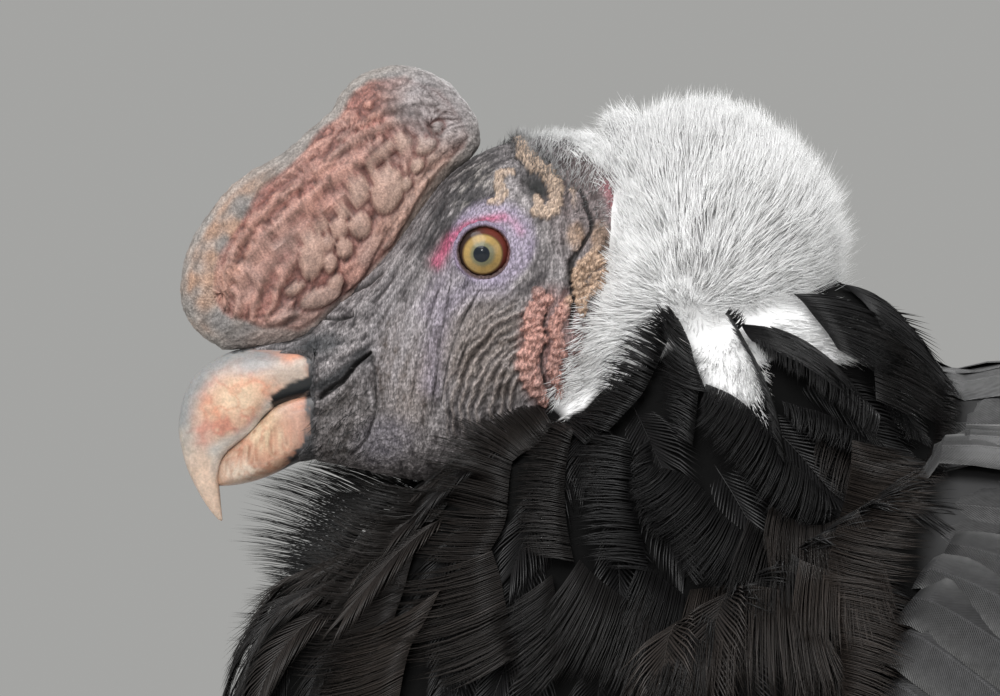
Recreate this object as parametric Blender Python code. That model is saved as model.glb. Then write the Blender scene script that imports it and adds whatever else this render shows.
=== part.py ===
"""A male Andean condor at rest, life size, standing on the floor with its neck drawn in.

The bird faces -X and its left side faces -Y. The head is given in mm forward of the eye and above
it, the body in metres back from the shoulder and an angle round it, and the tail in metres behind
its root.
"""

import math

import bmesh
import bpy
from mathutils import Vector
from mathutils.bvhtree import BVHTree

MM = 0.001
GAP = 0.35 * MM

# The eye's place, which the head, bill, comb, ruff and neck are measured from.
EYE_X = -0.3284
EYE_Z = 0.660

# The body's frame: its origin at the shoulder, its axis falling towards the tail.
SHOULDER_X = -0.3084
SHOULDER_Z = 0.505
BODY_PITCH = math.radians(22)

# Half width, height above the axis and depth below it, along the body, in metres. The torso fills
# this shape as far as TORSO_END, and the folded wings lie on it to their tips.
BODY = [
    (-0.098, 0.012, 0.008, 0.012),
    (-0.090, 0.045, 0.028, 0.045),
    (-0.060, 0.088, 0.056, 0.090),
    (-0.010, 0.122, 0.096, 0.128),
    (0.060, 0.141, 0.140, 0.162),
    (0.140, 0.147, 0.155, 0.182),
    (0.230, 0.138, 0.132, 0.174),
    (0.330, 0.113, 0.098, 0.132),
    (0.400, 0.090, 0.074, 0.086),
    (0.450, 0.076, 0.062, 0.052),
    (0.520, 0.064, 0.052, 0.040),
    (0.620, 0.056, 0.044, 0.034),
    (0.760, 0.048, 0.036, 0.030),
]
TORSO_START = -0.098
TORSO_END = 0.450
TORSO_RINGS = 14
TORSO_SIDES = 18

# The head, bill and neck as rings: forward and up of the ring's top, then of its bottom, and its
# half width, in mm.
HEAD = [
    (49.0, -19.0, 49.0, -61.5, 12.8),
    (45.0, -15.5, 42.5, -63.5, 14.8),
    (38.0, -9.5, 34.0, -65.5, 18.5),
    (28.5, 0.0, 24.0, -67.5, 22.5),
    (19.5, 12.0, 14.5, -68.5, 26.0),
    (10.0, 23.5, 5.5, -68.5, 29.0),
    (-1.5, 31.0, -5.0, -67.0, 31.0),
    (-13.0, 34.0, -15.5, -63.0, 32.0),
    (-25.0, 35.2, -25.5, -58.0, 32.0),
    (-37.0, 33.5, -36.5, -51.0, 30.5),
    (-47.5, 28.0, -46.0, -42.0, 26.5),
    (-55.5, 17.5, -54.0, -29.0, 18.5),
]
HEAD_BACK = (-60.5, -5.0)
HEAD_SIDES = 18
BILL_UPPER = [
    (49.35, -27.5, 49.35, -38.6, 12.0),
    (59.5, -28.0, 55.0, -42.0, 12.8),
    (68.5, -28.6, 61.8, -47.2, 12.6),
    (77.4, -30.3, 66.4, -55.6, 11.6),
    (84.6, -35.0, 70.4, -60.8, 10.2),
    (89.2, -42.5, 73.9, -64.6, 8.4),
    (91.0, -53.0, 76.8, -68.6, 6.6),
    (89.8, -62.5, 78.4, -72.2, 4.8),
    (86.2, -71.5, 78.8, -76.2, 3.0),
]
BILL_TIP = (79.0, -80.2)
BILL_LOWER = [
    (49.35, -41.0, 49.35, -61.4, 11.4),
    (55.0, -44.2, 54.5, -63.2, 11.2),
    (61.5, -49.0, 61.0, -65.6, 10.4),
    (66.3, -57.0, 67.4, -68.3, 8.8),
    (71.0, -62.0, 72.9, -69.9, 6.6),
    (75.2, -66.0, 76.5, -70.1, 4.0),
]
BILL_LOWER_TIP = (77.9, -69.3)
NECK = [
    (60.0, -150.0, -152.0, -150.0, 116.0),
    (58.0, -122.0, -145.0, -118.0, 112.0),
    (46.0, -98.0, -143.0, -94.0, 104.0),
    (27.0, -78.0, -142.0, -70.0, 92.0),
    (2.0, -58.0, -142.0, -48.0, 78.0),
    (-28.0, -38.0, -136.0, -28.0, 60.0),
    (-62.0, -20.0, -122.0, -12.0, 36.0),
]
NECK_TOP = (-95.0, -8.0)
NECK_SIDES = 16

# The comb's outline, forward and up of the eye in mm, and the line that its thickest part follows.
COMB_OUTLINE = [
    (78.3, -29.2), (84.9, -24.6), (89.1, -18.6), (90.9, -11.1), (90.0, -3.6), (87.3, 3.9),
    (82.8, 11.4), (77.4, 18.0), (71.4, 23.4), (60.9, 29.4), (53.4, 36.0), (45.9, 42.3),
    (42.0, 48.6), (35.1, 54.0), (23.4, 56.4), (11.4, 51.6), (2.7, 42.3), (0.6, 35.4),
    (2.7, 29.4), (10.5, 22.5), (17.4, 12.9), (24.3, 0.9), (32.4, -8.7), (41.4, -16.5),
    (54.9, -24.6), (66.9, -28.2),
]
COMB_SPINE_FRONT = (78.0, -12.0)
COMB_SPINE_BACK = (16.0, 38.0)
COMB_THICK = 7.0
COMB_RINGS = ((1.0, 0.0), (0.94, 0.58), (0.68, 0.90), (0.25, 1.0))

# The white ruff: an egg behind the head and a lobe down each side of the neck, in mm.
RUFF_CENTRE = (-64.0, 0.5)
RUFF_LOBE_CENTRE = (-37.0, -25.0)
RUFF_LOBE_SIDE = 31.0
RUFF_LOBE_RADII = (20.0, 16.0, 30.0)

RUFF_CORE = (41.5, 45.0, 41.5)
LOCK_COUNT = 72
LOCK_LENGTH = 17.0
LOCK_HALF_WIDTH = 5.2
LOCK_RISE = 6.2
LOCK_LIE = (0.80, 0.0, -0.60)

EYE_RADIUS = 10.2
EYE_SIDE = 22.2
LID_RADIUS = 8.2
LID_THICK = 1.4
LID_SIDE = 29.2

# Raised folds on each side of the head, as places forward and up of the eye in mm and the fold's
# radius at each: two hooks of thick skin above and behind the eye, wrinkles before the ear, the
# folded skin below the ear, and two beaded wattles down the side of the neck.
HEAD_FOLDS = [
    [(-9.6, 32.4, 1.0), (-14.1, 26.4, 2.1), (-20.1, 23.4, 2.1), (-23.1, 17.4, 2.1),
     (-21.0, 12.0, 2.1), (-16.5, 10.8, 1.8), (-13.5, 13.2, 0.9)],
    [(-9.0, 24.6, 0.9), (-4.5, 23.7, 1.7), (-3.0, 20.4, 1.8), (-6.0, 17.1, 0.9)],
    [(-29.0, 18.0, 0.9), (-31.5, 8.0, 1.7), (-31.0, -3.0, 1.7), (-27.0, -12.0, 0.9)],
    [(-37.5, 10.0, 1.0), (-38.5, 1.0, 2.4), (-34.5, -8.0, 2.9), (-29.5, -16.0, 2.4),
     (-28.0, -22.0, 1.0)],
    [(-14.5, -15.0, 1.4), (-15.0, -20.0, 3.2), (-14.6, -24.5, 2.2), (-14.3, -29.5, 3.3),
     (-14.8, -34.5, 2.2), (-17.0, -39.5, 2.9), (-19.0, -43.5, 1.2)],
    [(-24.5, -20.0, 1.0), (-22.8, -25.0, 2.4), (-22.0, -30.0, 1.7), (-20.8, -35.5, 2.3),
     (-22.5, -40.5, 1.0)],
    [(20.0, -33.0, 0.8), (9.0, -41.0, 1.7), (-3.0, -43.5, 1.7), (-10.0, -41.0, 0.8)],
]
# Grooves in the head in the same terms: the corner of the mouth, and the nostril under the comb.
HEAD_GROOVES = [
    [(52.0, -41.2, 0.9), (47.0, -39.0, 0.9), (41.0, -35.0, 0.9), (35.5, -31.0, 0.7)],
    [(49.5, -20.2, 1.0), (46.0, -19.6, 1.5), (42.0, -19.4, 1.4), (38.5, -20.0, 0.8)],
]
# The comb's long folds in the same terms, and its bulbs: place, half length and half width.
COMB_FOLDS = [
    [(84.0, -10.0, 1.0), (74.0, 3.0, 2.2), (60.0, 14.0, 2.4), (45.0, 26.5, 2.2), (34.5, 39.5, 1.2)],
    [(80.5, -19.5, 1.0), (69.0, -7.0, 2.2), (55.5, 6.0, 2.6), (43.0, 15.5, 2.2), (30.0, 29.5, 1.2)],
    [(73.0, -23.5, 1.0), (62.5, -14.5, 2.2), (53.5, -6.5, 2.2), (47.0, 1.5, 1.2)],
    [(62.0, 25.0, 0.9), (50.5, 33.0, 1.8), (41.5, 42.0, 1.8), (32.0, 48.5, 0.9)],
]
COMB_BULBS = [
    (28.8, 18.9, 7.0, 4.6), (37.2, 18.3, 4.6, 2.8), (38.5, 8.0, 5.4, 4.0),
    (51.6, -0.3, 6.4, 3.7), (16.8, 32.4, 4.2, 3.2), (49.0, -13.5, 5.2, 3.6),
]

COLOURS = {
    "skin": ((0.20, 0.175, 0.175), 0.65),
    "comb": ((0.36, 0.22, 0.19), 0.6),
    "bill": ((0.62, 0.45, 0.34), 0.35),
    "iris": ((0.42, 0.28, 0.07), 0.1),
    "down": ((0.86, 0.86, 0.85), 0.9),
    "black": ((0.018, 0.017, 0.018), 0.6),
    "silver": ((0.46, 0.46, 0.46), 0.6),
    "scales": ((0.16, 0.15, 0.145), 0.7),
    "claw": ((0.03, 0.028, 0.027), 0.4),
}


def clear_scene():
    for obj in list(bpy.data.objects):
        bpy.data.objects.remove(obj, do_unlink=True)


def new_collection(name):
    collection = bpy.data.collections.new(name)
    bpy.context.scene.collection.children.link(collection)
    return collection


def material(name):
    """The Principled material of one of COLOURS, made once."""
    found = bpy.data.materials.get(name)
    if found:
        return found
    colour, roughness = COLOURS[name]
    made = bpy.data.materials.new(name)
    made.use_nodes = True
    shader = made.node_tree.nodes["Principled BSDF"]
    shader.inputs["Base Color"].default_value = (*colour, 1)
    shader.inputs["Roughness"].default_value = roughness
    shader.inputs["Metallic"].default_value = 0
    return made


def add_object(name, mesh_bm, collection, finish):
    """An object from a closed bmesh, as triangles that point out, shaded smooth."""
    bmesh.ops.recalc_face_normals(mesh_bm, faces=mesh_bm.faces)
    bmesh.ops.triangulate(mesh_bm, faces=mesh_bm.faces)
    mesh = bpy.data.meshes.new(name)
    mesh_bm.to_mesh(mesh)
    mesh_bm.free()
    mesh.shade_smooth()
    mesh.set_sharp_from_angle(angle=math.radians(45))
    mesh.materials.append(material(finish))
    obj = bpy.data.objects.new(name, mesh)
    collection.objects.link(obj)
    return obj


def head_point(forward, up, side=0.0):
    """A point given in mm forward of the eye, above it, and to the bird's right of its middle."""
    return Vector((EYE_X - forward * MM, side * MM, EYE_Z + up * MM))


def smooth_row(table, at):
    """The row of a table of stations at a place between them, by a Catmull-Rom curve."""
    keys = [row[0] for row in table]
    last = len(table) - 1
    at = min(max(at, keys[0]), keys[-1])
    i = max(k for k in range(last) if keys[k] <= at or k == 0)
    t = (at - keys[i]) / (keys[i + 1] - keys[i])
    near = [table[min(max(i + k, 0), last)] for k in (-1, 0, 1, 2)]
    row = []
    for a, b, c, d in zip(*near):
        row.append(b + 0.5 * t * (c - a + t * (2 * a - 5 * b + 4 * c - d + t * (3 * (b - c) + d - a))))
    return row


def body_point(along, angle, lift=0.0):
    """A point on the body: metres back along it, angle down from its top line, metres outside it.
    The angle is positive on the bird's right."""
    _, wide, above, below = smooth_row(BODY, along)
    height = (above if math.cos(angle) > 0 else below) + lift
    side = (wide + lift) * math.sin(angle)
    up = height * math.cos(angle)
    return body_frame(along, side, up)


def body_frame(along, side, up):
    c, s = math.cos(BODY_PITCH), math.sin(BODY_PITCH)
    return Vector((SHOULDER_X + along * c + up * s, side, SHOULDER_Z - along * s + up * c))


def loft(rings, first=None, last=None):
    """A closed bmesh through rings of points, each end a flat cap or a fan to a given point."""
    made = bmesh.new()
    rows = [[made.verts.new(p) for p in ring] for ring in rings]
    n = len(rows[0])
    for one, two in zip(rows, rows[1:]):
        for k in range(n):
            made.faces.new((one[k], one[(k + 1) % n], two[(k + 1) % n], two[k]))
    for row, pole in ((rows[0], first), (rows[-1], last)):
        if pole is None:
            made.faces.new(row)
        else:
            tip = made.verts.new(pole)
            for k in range(n):
                made.faces.new((row[k], row[(k + 1) % n], tip))
    return made


def side_ring(top, bottom, half_width, sides, square=0.85):
    """A ring in the plane through two points of the middle plane, across the bird."""
    middle, reach = (top + bottom) / 2, (top - bottom) / 2
    ring = []
    for k in range(sides):
        turn = 2 * math.pi * k / sides
        c, s = math.cos(turn), math.sin(turn)
        up = math.copysign(abs(c) ** square, c)
        out = math.copysign(abs(s) ** square, s)
        ring.append(middle + reach * up + Vector((0, half_width * MM * out, 0)))
    return ring


def head_rings(stations, sides, grow=0.0, square=0.85):
    """The rings of a table of stations, each grown by some mm on every side."""
    rings = []
    for top_f, top_u, low_f, low_u, wide in stations:
        top, low = head_point(top_f, top_u), head_point(low_f, low_u)
        out = (top - low).normalized() * grow * MM
        rings.append(side_ring(top + out, low - out, wide + grow, sides, square))
    return rings


def apply_modifiers(obj):
    graph = bpy.context.evaluated_depsgraph_get()
    mesh = bpy.data.meshes.new_from_object(obj.evaluated_get(graph))
    obj.modifiers.clear()
    obj.data = mesh


def keep_largest(obj):
    """Leaves only the largest closed surface of an object."""
    made = bmesh.new()
    made.from_mesh(obj.data)
    left, pieces = set(made.verts), []
    while left:
        seed = left.pop()
        piece, edge = {seed}, [seed]
        while edge:
            for link in edge.pop().link_edges:
                for vert in link.verts:
                    if vert in left:
                        left.discard(vert)
                        piece.add(vert)
                        edge.append(vert)
        pieces.append(piece)
    pieces.sort(key=span, reverse=True)
    for piece in pieces[1:]:
        bmesh.ops.delete(made, geom=list(piece), context="VERTS")
    made.to_mesh(obj.data)
    made.free()


def span(piece):
    """How far a set of vertices reaches, as the sum of its box's sides."""
    return sum(max(v.co[k] for v in piece) - min(v.co[k] for v in piece) for k in range(3))


def boolean(obj, other, operation, solver="MANIFOLD"):
    """Cuts or joins an object by another, or by all of a collection, which are then removed."""
    modifier = obj.modifiers.new(operation.title(), "BOOLEAN")
    modifier.operation = operation
    modifier.solver = solver
    if isinstance(other, bpy.types.Collection):
        modifier.operand_type = "COLLECTION"
        modifier.collection = other
        tools = list(other.objects)
    else:
        modifier.object = other
        tools = [other]
    apply_modifiers(obj)
    for tool in tools:
        bpy.data.objects.remove(tool, do_unlink=True)
    keep_largest(obj)


def grown_copy(obj, gap, collection):
    """A copy of a smooth closed object whose points lie further out by the gap, as a cutter."""
    made = bmesh.new()
    made.from_mesh(obj.data)
    made.normal_update()
    moved = [(v, v.co + v.normal * gap) for v in made.verts]
    for vert, place in moved:
        vert.co = place
    cutter = add_object(obj.name + "_cutter", made, collection, "black")
    cutter.hide_render = True
    cutter.display_type = "WIRE"
    return cutter

def ray_to(tree, forward, up, side):
    """The point of a tree's surface seen from one side at a place in the head's mm, and the
    direction out of it."""
    start = head_point(forward, up, side * 90)
    point, normal, _, _ = tree.ray_cast(start, Vector((0, -side, 0)))
    if point is None:
        point, normal, _, _ = tree.find_nearest(start)
    return point, normal


def tree_of(obj):
    graph = bpy.context.evaluated_depsgraph_get()
    return BVHTree.FromObject(obj, graph)


def tube(points, radii, sides=5):
    """A closed tube with pointed ends through points, of a radius at each."""
    rings = []
    for i in range(1, len(points) - 1):
        along = (points[i + 1] - points[i - 1]).normalized()
        across = along.cross(Vector((0, 1, 0.13))).normalized()
        up = across.cross(along)
        ring = []
        for k in range(sides):
            turn = 2 * math.pi * k / sides
            ring.append(points[i] + (across * math.cos(turn) + up * math.sin(turn)) * radii[i])
        rings.append(ring)
    return loft(rings, first=points[0], last=points[-1])


def add_fold(tree, places, side, collection, finish, sink=0.2):
    """A raised fold along places of a surface, sunk into it by a share of its radius. Its ends
    lie under the surface."""
    points, radii = [], []
    for i, (forward, up, radius) in enumerate(places):
        point, normal = ray_to(tree, forward, up, side)
        depth = radius * (1.8 if i in (0, len(places) - 1) else sink)
        points.append(point - normal * depth * MM)
        radii.append(radius * MM)
    return add_object("fold", tube(points, radii), collection, finish)


def add_bulb(tree, place, side, collection, finish):
    """A rounded bulb half out of a surface, longer along the comb's own line."""
    forward, up, length, width = place
    point, normal = ray_to(tree, forward, up, side)
    made = bmesh.new()
    bmesh.ops.create_uvsphere(made, u_segments=6, v_segments=4, radius=1)
    lean = (head_point(*COMB_SPINE_BACK) - head_point(*COMB_SPINE_FRONT)).normalized()
    along = (Vector((0, 0, 1)) * 0.8 + lean * 0.6).normalized()
    along = (along - normal * along.dot(normal)).normalized()
    across = normal.cross(along)
    for vert in made.verts:
        x, y, z = vert.co
        vert.co = point + (along * z * length + across * x * width + normal * y * width * 0.8) * MM
    return add_object("bulb", made, collection, finish)


def blade(rows):
    """A thin closed feather. Each row holds pairs of an upper and a lower point from one edge over
    the shaft to the other, and both faces are split into triangles alike."""
    made = bmesh.new()
    faces = [[[made.verts.new(pair[k]) for pair in row] for row in rows] for k in (0, 1)]
    last, wide = len(rows) - 1, len(rows[0]) - 1
    for grid in faces:
        for i in range(last):
            for k in range(wide):
                made.faces.new((grid[i][k], grid[i][k + 1], grid[i + 1][k + 1]))
                made.faces.new((grid[i][k], grid[i + 1][k + 1], grid[i + 1][k]))
    upper, lower = faces
    for i in range(last):
        for k in (0, wide):
            made.faces.new((upper[i][k], upper[i + 1][k], lower[i + 1][k]))
            made.faces.new((upper[i][k], lower[i + 1][k], lower[i][k]))
    for i in (0, last):
        for k in range(wide):
            made.faces.new((upper[i][k], upper[i][k + 1], lower[i][k + 1]))
            made.faces.new((upper[i][k], lower[i][k + 1], lower[i][k]))
    return made


def make_torso(parts):
    turns = [2 * math.pi * k / TORSO_SIDES for k in range(TORSO_SIDES)]
    rings = []
    for i in range(1, TORSO_RINGS):
        share = i / (TORSO_RINGS - 1)
        along = TORSO_START + (TORSO_END - TORSO_START) * share**1.3
        rings.append([body_point(along, turn) for turn in turns])
    rings.append([body_point(TORSO_END + 0.010, turn, -0.010) for turn in turns])
    front = body_frame(TORSO_START, 0, 0)
    return add_object("torso", loft(rings, first=front), parts, "black")


def make_head(parts, tools):
    """The bare head with its lids, folds and wattles, and the grooves cut into it."""
    rings = head_rings(HEAD, HEAD_SIDES)
    head = add_object("head", loft(rings, last=head_point(*HEAD_BACK)), parts, "skin")
    tree = tree_of(head)
    for side in (-1, 1):
        for places in HEAD_FOLDS:
            add_fold(tree, places, side, tools, "skin")
        add_lid(side, tools)
    boolean(head, tools, "UNION")
    for side in (-1, 1):
        for places in HEAD_GROOVES:
            add_fold(tree, places, side, tools, "skin", sink=0.1)
    boolean(head, tools, "DIFFERENCE")
    return head


def add_lid(side, tools):
    """The ring of the eyelids."""
    rings = []
    for i in range(12):
        turn = 2 * math.pi * i / 12
        out = Vector((math.cos(turn), 0, math.sin(turn)))
        centre = head_point(0, 0, side * LID_SIDE) + out * LID_RADIUS * MM
        ring = []
        for k in range(5):
            roll = 2 * math.pi * k / 5
            ring.append(centre + (out * math.cos(roll) + Vector((0, math.sin(roll), 0))) * LID_THICK * MM)
        rings.append(ring)
    made = bmesh.new()
    rows = [[made.verts.new(p) for p in ring] for ring in rings]
    for one, two in zip(rows, rows[1:] + rows[:1]):
        for k in range(5):
            made.faces.new((one[k], one[(k + 1) % 5], two[(k + 1) % 5], two[k]))
    return add_object("lid", made, tools, "skin")


def make_bill(parts):
    sides = 14
    upper_rings = head_rings(BILL_UPPER, sides, square=0.9)
    upper = add_object("bill_upper", loft(upper_rings, last=head_point(*BILL_TIP)), parts, "bill")
    lower_rings = head_rings(BILL_LOWER, sides, square=0.9)
    lower = add_object(
        "bill_lower", loft(lower_rings, last=head_point(*BILL_LOWER_TIP)), parts, "bill"
    )
    return upper, lower


def spine_point(point):
    """The nearest point of the comb's thickest line to a point of its outline."""
    a, b, p = Vector(COMB_SPINE_FRONT), Vector(COMB_SPINE_BACK), Vector(point)
    along = min(max((p - a).dot(b - a) / (b - a).length_squared, 0), 1)
    return a.lerp(b, along)


def make_comb(parts, tools):
    """The comb as shrinking copies of its outline that step out to each side, with its folds and
    bulbs."""
    rings = []
    for side in (-1, 1):
        for share, out in COMB_RINGS if side > 0 else reversed(COMB_RINGS[1:]):
            ring = []
            for point in COMB_OUTLINE:
                place = spine_point(point).lerp(Vector(point), share)
                ring.append(head_point(place.x, place.y, side * out * COMB_THICK))
            rings.append(ring)
    comb = add_object("comb", loft(rings), parts, "comb")
    tree = tree_of(comb)
    for side in (-1, 1):
        for places in COMB_FOLDS:
            add_fold(tree, places, side, tools, "comb", sink=0.35)
        for place in COMB_BULBS:
            add_bulb(tree, place, side, tools, "comb")
    boolean(comb, tools, "UNION")
    return comb


def egg(name, centre, radii, parts, finish, segments=20, side=0.0):
    """An ellipsoid given in the head's mm."""
    made = bmesh.new()
    bmesh.ops.create_uvsphere(made, u_segments=segments, v_segments=segments // 2, radius=1)
    place = head_point(centre[0], centre[1], side)
    for vert in made.verts:
        vert.co = Vector([vert.co[k] * radii[k] * MM + place[k] for k in range(3)])
    return add_object(name, made, parts, finish)


def make_ruff(parts, tools):
    """The ruff's core: an egg behind the head and a lobe down each side of the neck."""
    ruff = egg("ruff", RUFF_CENTRE, RUFF_CORE, parts, "down", 18)
    for side in (-1, 1):
        egg("lobe", RUFF_LOBE_CENTRE, RUFF_LOBE_RADII, tools, "down", 12, side * RUFF_LOBE_SIDE)
    boolean(ruff, tools, "UNION")
    return ruff


def lock_rings(root, out):
    """The rings and the tip of a flat tapered lock that rises from the ruff and bends over along
    its lie."""
    lie = Vector(LOCK_LIE)
    lie = (lie - out * lie.dot(out)).normalized()
    across = out.cross(lie)
    rings, centres = [], []
    for share, width, thick in ((0.0, 0.8, 1.0), (0.3, 1.0, 1.0), (0.68, 0.78, 0.7), (1.0, 0, 0)):
        rise = (LOCK_RISE + 4.0) * math.sin(share * math.pi / 2) ** 0.8 - 4.0
        centre = root + (out * rise + lie * LOCK_LENGTH * share) * MM
        wide, deep = across * LOCK_HALF_WIDTH * width * MM, out * 1.5 * thick * MM
        rings.append([centre - wide, centre + deep, centre + wide, centre - deep])
        centres.append(centre)
    return rings[:-1], centres[-1]


def add_ruff_locks(ruff, others, tools):
    """Locks spread evenly over the ruff wherever they stand clear of its neighbours."""
    trees = [tree_of(other) for other in others]
    tree = tree_of(ruff)
    middle = head_point(*RUFF_CENTRE)
    flip = Vector((1, -1, 1))
    golden = math.pi * (3 - math.sqrt(5))
    for i in range(LOCK_COUNT):
        height = 1 - 2 * (i + 0.5) / LOCK_COUNT
        flat = math.sqrt(1 - height * height)
        ray = Vector((flat * math.cos(golden * i), flat * math.sin(golden * i), height))
        if ray.y < 0.06:
            continue
        root, out, _, _ = tree.ray_cast(middle + ray * 0.2, -ray)
        rings, tip = lock_rings(root, out)
        ends = [tip] + [point for ring in rings for point in ring]
        if any(inside(other, point, 1.6 * MM) for other in trees for point in ends):
            continue
        add_object("lock", loft(rings, last=tip), tools, "down")
        flipped = [[point * flip for point in ring] for ring in rings]
        add_object("lock", loft(flipped, last=tip * flip), tools, "down")
    boolean(ruff, tools, "UNION")


def inside(tree, point, margin):
    """Whether a point lies within a closed surface or nearer to it than a margin."""
    near, normal, _, distance = tree.find_nearest(point)
    return distance < margin or (point - near).dot(normal) < 0


def make_neck(parts):
    rings = head_rings(NECK, NECK_SIDES, square=0.95)
    return add_object("neck", loft(rings, last=head_point(*NECK_TOP)), parts, "black")


def make_eyes(parts):
    eyes = []
    for side, name in ((-1, "eye_left"), (1, "eye_right")):
        eyes.append(egg(name, (0, 0), [EYE_RADIUS] * 3, parts, "iris", 12, side * EYE_SIDE))
    return eyes


# The folded wing's pad, which the feathers grow from: metres along the body, and the angles of its
# upper and lower edges in degrees.
WING = [
    (0.000, 70.0, 90.0),
    (0.020, 58.0, 102.0),
    (0.060, 36.0, 108.0),
    (0.110, 18.0, 109.0),
    (0.170, 9.0, 108.0),
    (0.250, 7.0, 104.0),
    (0.330, 7.0, 97.0),
    (0.400, 9.0, 80.0),
]
WING_INNER = -0.004
WING_ARC = 6
# How far the pad stands out of the body, in mm, by how far behind the wing's front a place lies.
PAD_LIFT = [(-0.40, 19.5), (0.00, 19.5), (0.20, 17.0), (0.34, 11.6), (0.52, 6.0), (0.70, 1.8), (1.0, 1.3)]
# Tiers of feathers from the undermost: how many, the first one's root and tip, the last one's root
# and tip (metres along, degrees round), half width in mm, lift of the tier in mm, the rise of each
# feather's lower edge over its shaft as a share of its width, and its rows of points.
WING_TIERS = [
    ("primary", 6, (0.300, 100.0), (0.735, 80.0), (0.350, 62.0), (0.610, 34.0), 13.0, 3.6, 0.15, 4),
    ("secondary", 6, (0.110, 64.0), (0.275, 112.0), (0.330, 28.0), (0.600, 68.0), 27.0, 9.2, 0.09, 4),
    ("covert", 6, (0.060, 60.0), (0.170, 92.0), (0.270, 22.0), (0.470, 47.0), 24.0, 14.4, 0.095, 4),
    ("shoulder", 5, (0.015, 66.0), (0.095, 80.0), (0.190, 18.0), (0.345, 30.0), 23.0, 19.0, 0.095, 3),
    ("scapular", 3, (0.050, 32.0), (0.240, 26.0), (0.160, 13.0), (0.530, 17.0), 18.0, 22.0, 0.10, 4),
]
VANE_SHARES = {3: (0.0, 0.70, 1.0), 4: (0.0, 0.40, 0.84, 1.0)}
VANE_WIDTHS = {3: (0.75, 1.0, 0.40), 4: (0.60, 1.0, 0.86, 0.32)}
VANE_THICK = 0.86
ROOT_DIP = 5.0


def pad_lift(along, angle):
    """The pad's lift at a place, in metres."""
    return smooth_row(PAD_LIFT, along + 0.006 * (math.degrees(abs(angle)) - 30))[1] * MM


def wing_ring(row, side):
    """A crescent round one side of the body: out along its outer face, back along its inner."""
    along, high, low = row
    outer, inner = [], []
    for k in range(WING_ARC + 1):
        angle = math.radians(high + (low - high) * k / WING_ARC) * side
        lift = pad_lift(along, angle) * (0.55 if k in (0, WING_ARC) else 1)
        outer.append(body_point(along, angle, lift))
        inner.append(body_point(along, angle, WING_INNER))
    return outer + inner[::-1]


def clear_angle(along, angle):
    """An angle kept far enough from the top line for the two wings to stay apart."""
    least = math.asin(min(4 * MM / smooth_row(BODY, along)[1], 1))
    return max(angle, least)


def wing_vane(root, tip, half, lift, rise, count):
    """The rows of one feather lying round the left or right of the body, and its root dips in."""
    rows = []
    for share, width in zip(VANE_SHARES[count], VANE_WIDTHS[count]):
        along = root[0] + (tip[0] - root[0]) * share
        angle = math.radians(root[1] + (tip[1] - root[1]) * share**1.15)
        step_along = tip[0] - root[0]
        round_here = (body_point(along, angle + 0.01) - body_point(along, angle - 0.01)).length / 0.02
        step_round = math.radians(tip[1] - root[1]) * round_here
        length = math.hypot(step_along, step_round)
        dip = ROOT_DIP * max(0.0, 1 - share / 0.3) ** 2
        row = []
        for edge in (-1, 0, 1):
            out = edge * half * width * MM
            place = along - out * step_round / length
            turn = clear_angle(place, angle + out * step_along / length / round_here)
            height = (lift - dip + edge * half * width * rise) * MM
            thick = VANE_THICK * (1.0 if edge == 0 else 0.62) * (0.75 if share == 1 else 1) * MM / 2
            row.append((place, turn, (height + thick, height - thick)))
        rows.append(row)
    return rows


def make_wings(parts, tools):
    wings = []
    for side, name in ((-1, "wing_left"), (1, "wing_right")):
        rings = [wing_ring(row, side) for row in WING]
        wing = add_object(name, loft(rings), parts, "black")
        for _, count, root_a, tip_a, root_b, tip_b, half, lift, rise, rows in WING_TIERS:
            for i in range(count):
                share = i / (count - 1)
                root = [a + (b - a) * share for a, b in zip(root_a, root_b)]
                tip = [a + (b - a) * share for a, b in zip(tip_a, tip_b)]
                flat = wing_vane(root, tip, half, lift, rise, rows)
                vane = [
                    [[body_point(a, t * side, out) for out in lifts] for a, t, lifts in row]
                    for row in flat
                ]
                add_object("vane", blade(vane), tools, "black")
        boolean(wing, tools, "UNION")
        wings.append(wing)
    return wings


# The tail in metres: its base's rings (distance behind the root, half width, thickness), and its
# twelve feathers, which fan out and lie lower the further they are from the middle.
TAIL_BASE = [(0.0, 0.046, 0.040), (0.045, 0.043, 0.034), (0.095, 0.036, 0.020), (0.125, 0.026, 0.009)]
TAIL_LENGTH = 0.335
TAIL_FEATHERS = 6
TAIL_FEATHER_HALF = 0.0235
TAIL_FAN = 0.0118
TAIL_STEP = 1.25 * MM
TAIL_DROP = math.radians(1.5)
TAIL_HEIGHT = -0.022


def tail_point(along, side, up):
    """A point of the tail: metres behind its root, across it, and above it."""
    c, s = math.cos(TAIL_DROP), math.sin(TAIL_DROP)
    return body_frame(TORSO_END + 0.010 + GAP + along * c, side, TAIL_HEIGHT - along * s + up)


def make_tail(parts, tools):
    rings = []
    for along, half, thick in TAIL_BASE:
        ring = []
        for k in range(8):
            turn = 2 * math.pi * (k + 0.5) / 8
            ring.append(tail_point(along, half * math.sin(turn), thick / 2 * math.cos(turn)))
        rings.append(ring)
    tail = add_object("tail", loft(rings), parts, "black")
    for side in (-1, 1):
        for i in range(TAIL_FEATHERS):
            add_object("vane", blade(tail_vane(i, side)), tools, "black")
    boolean(tail, tools, "UNION")
    return tail


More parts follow.
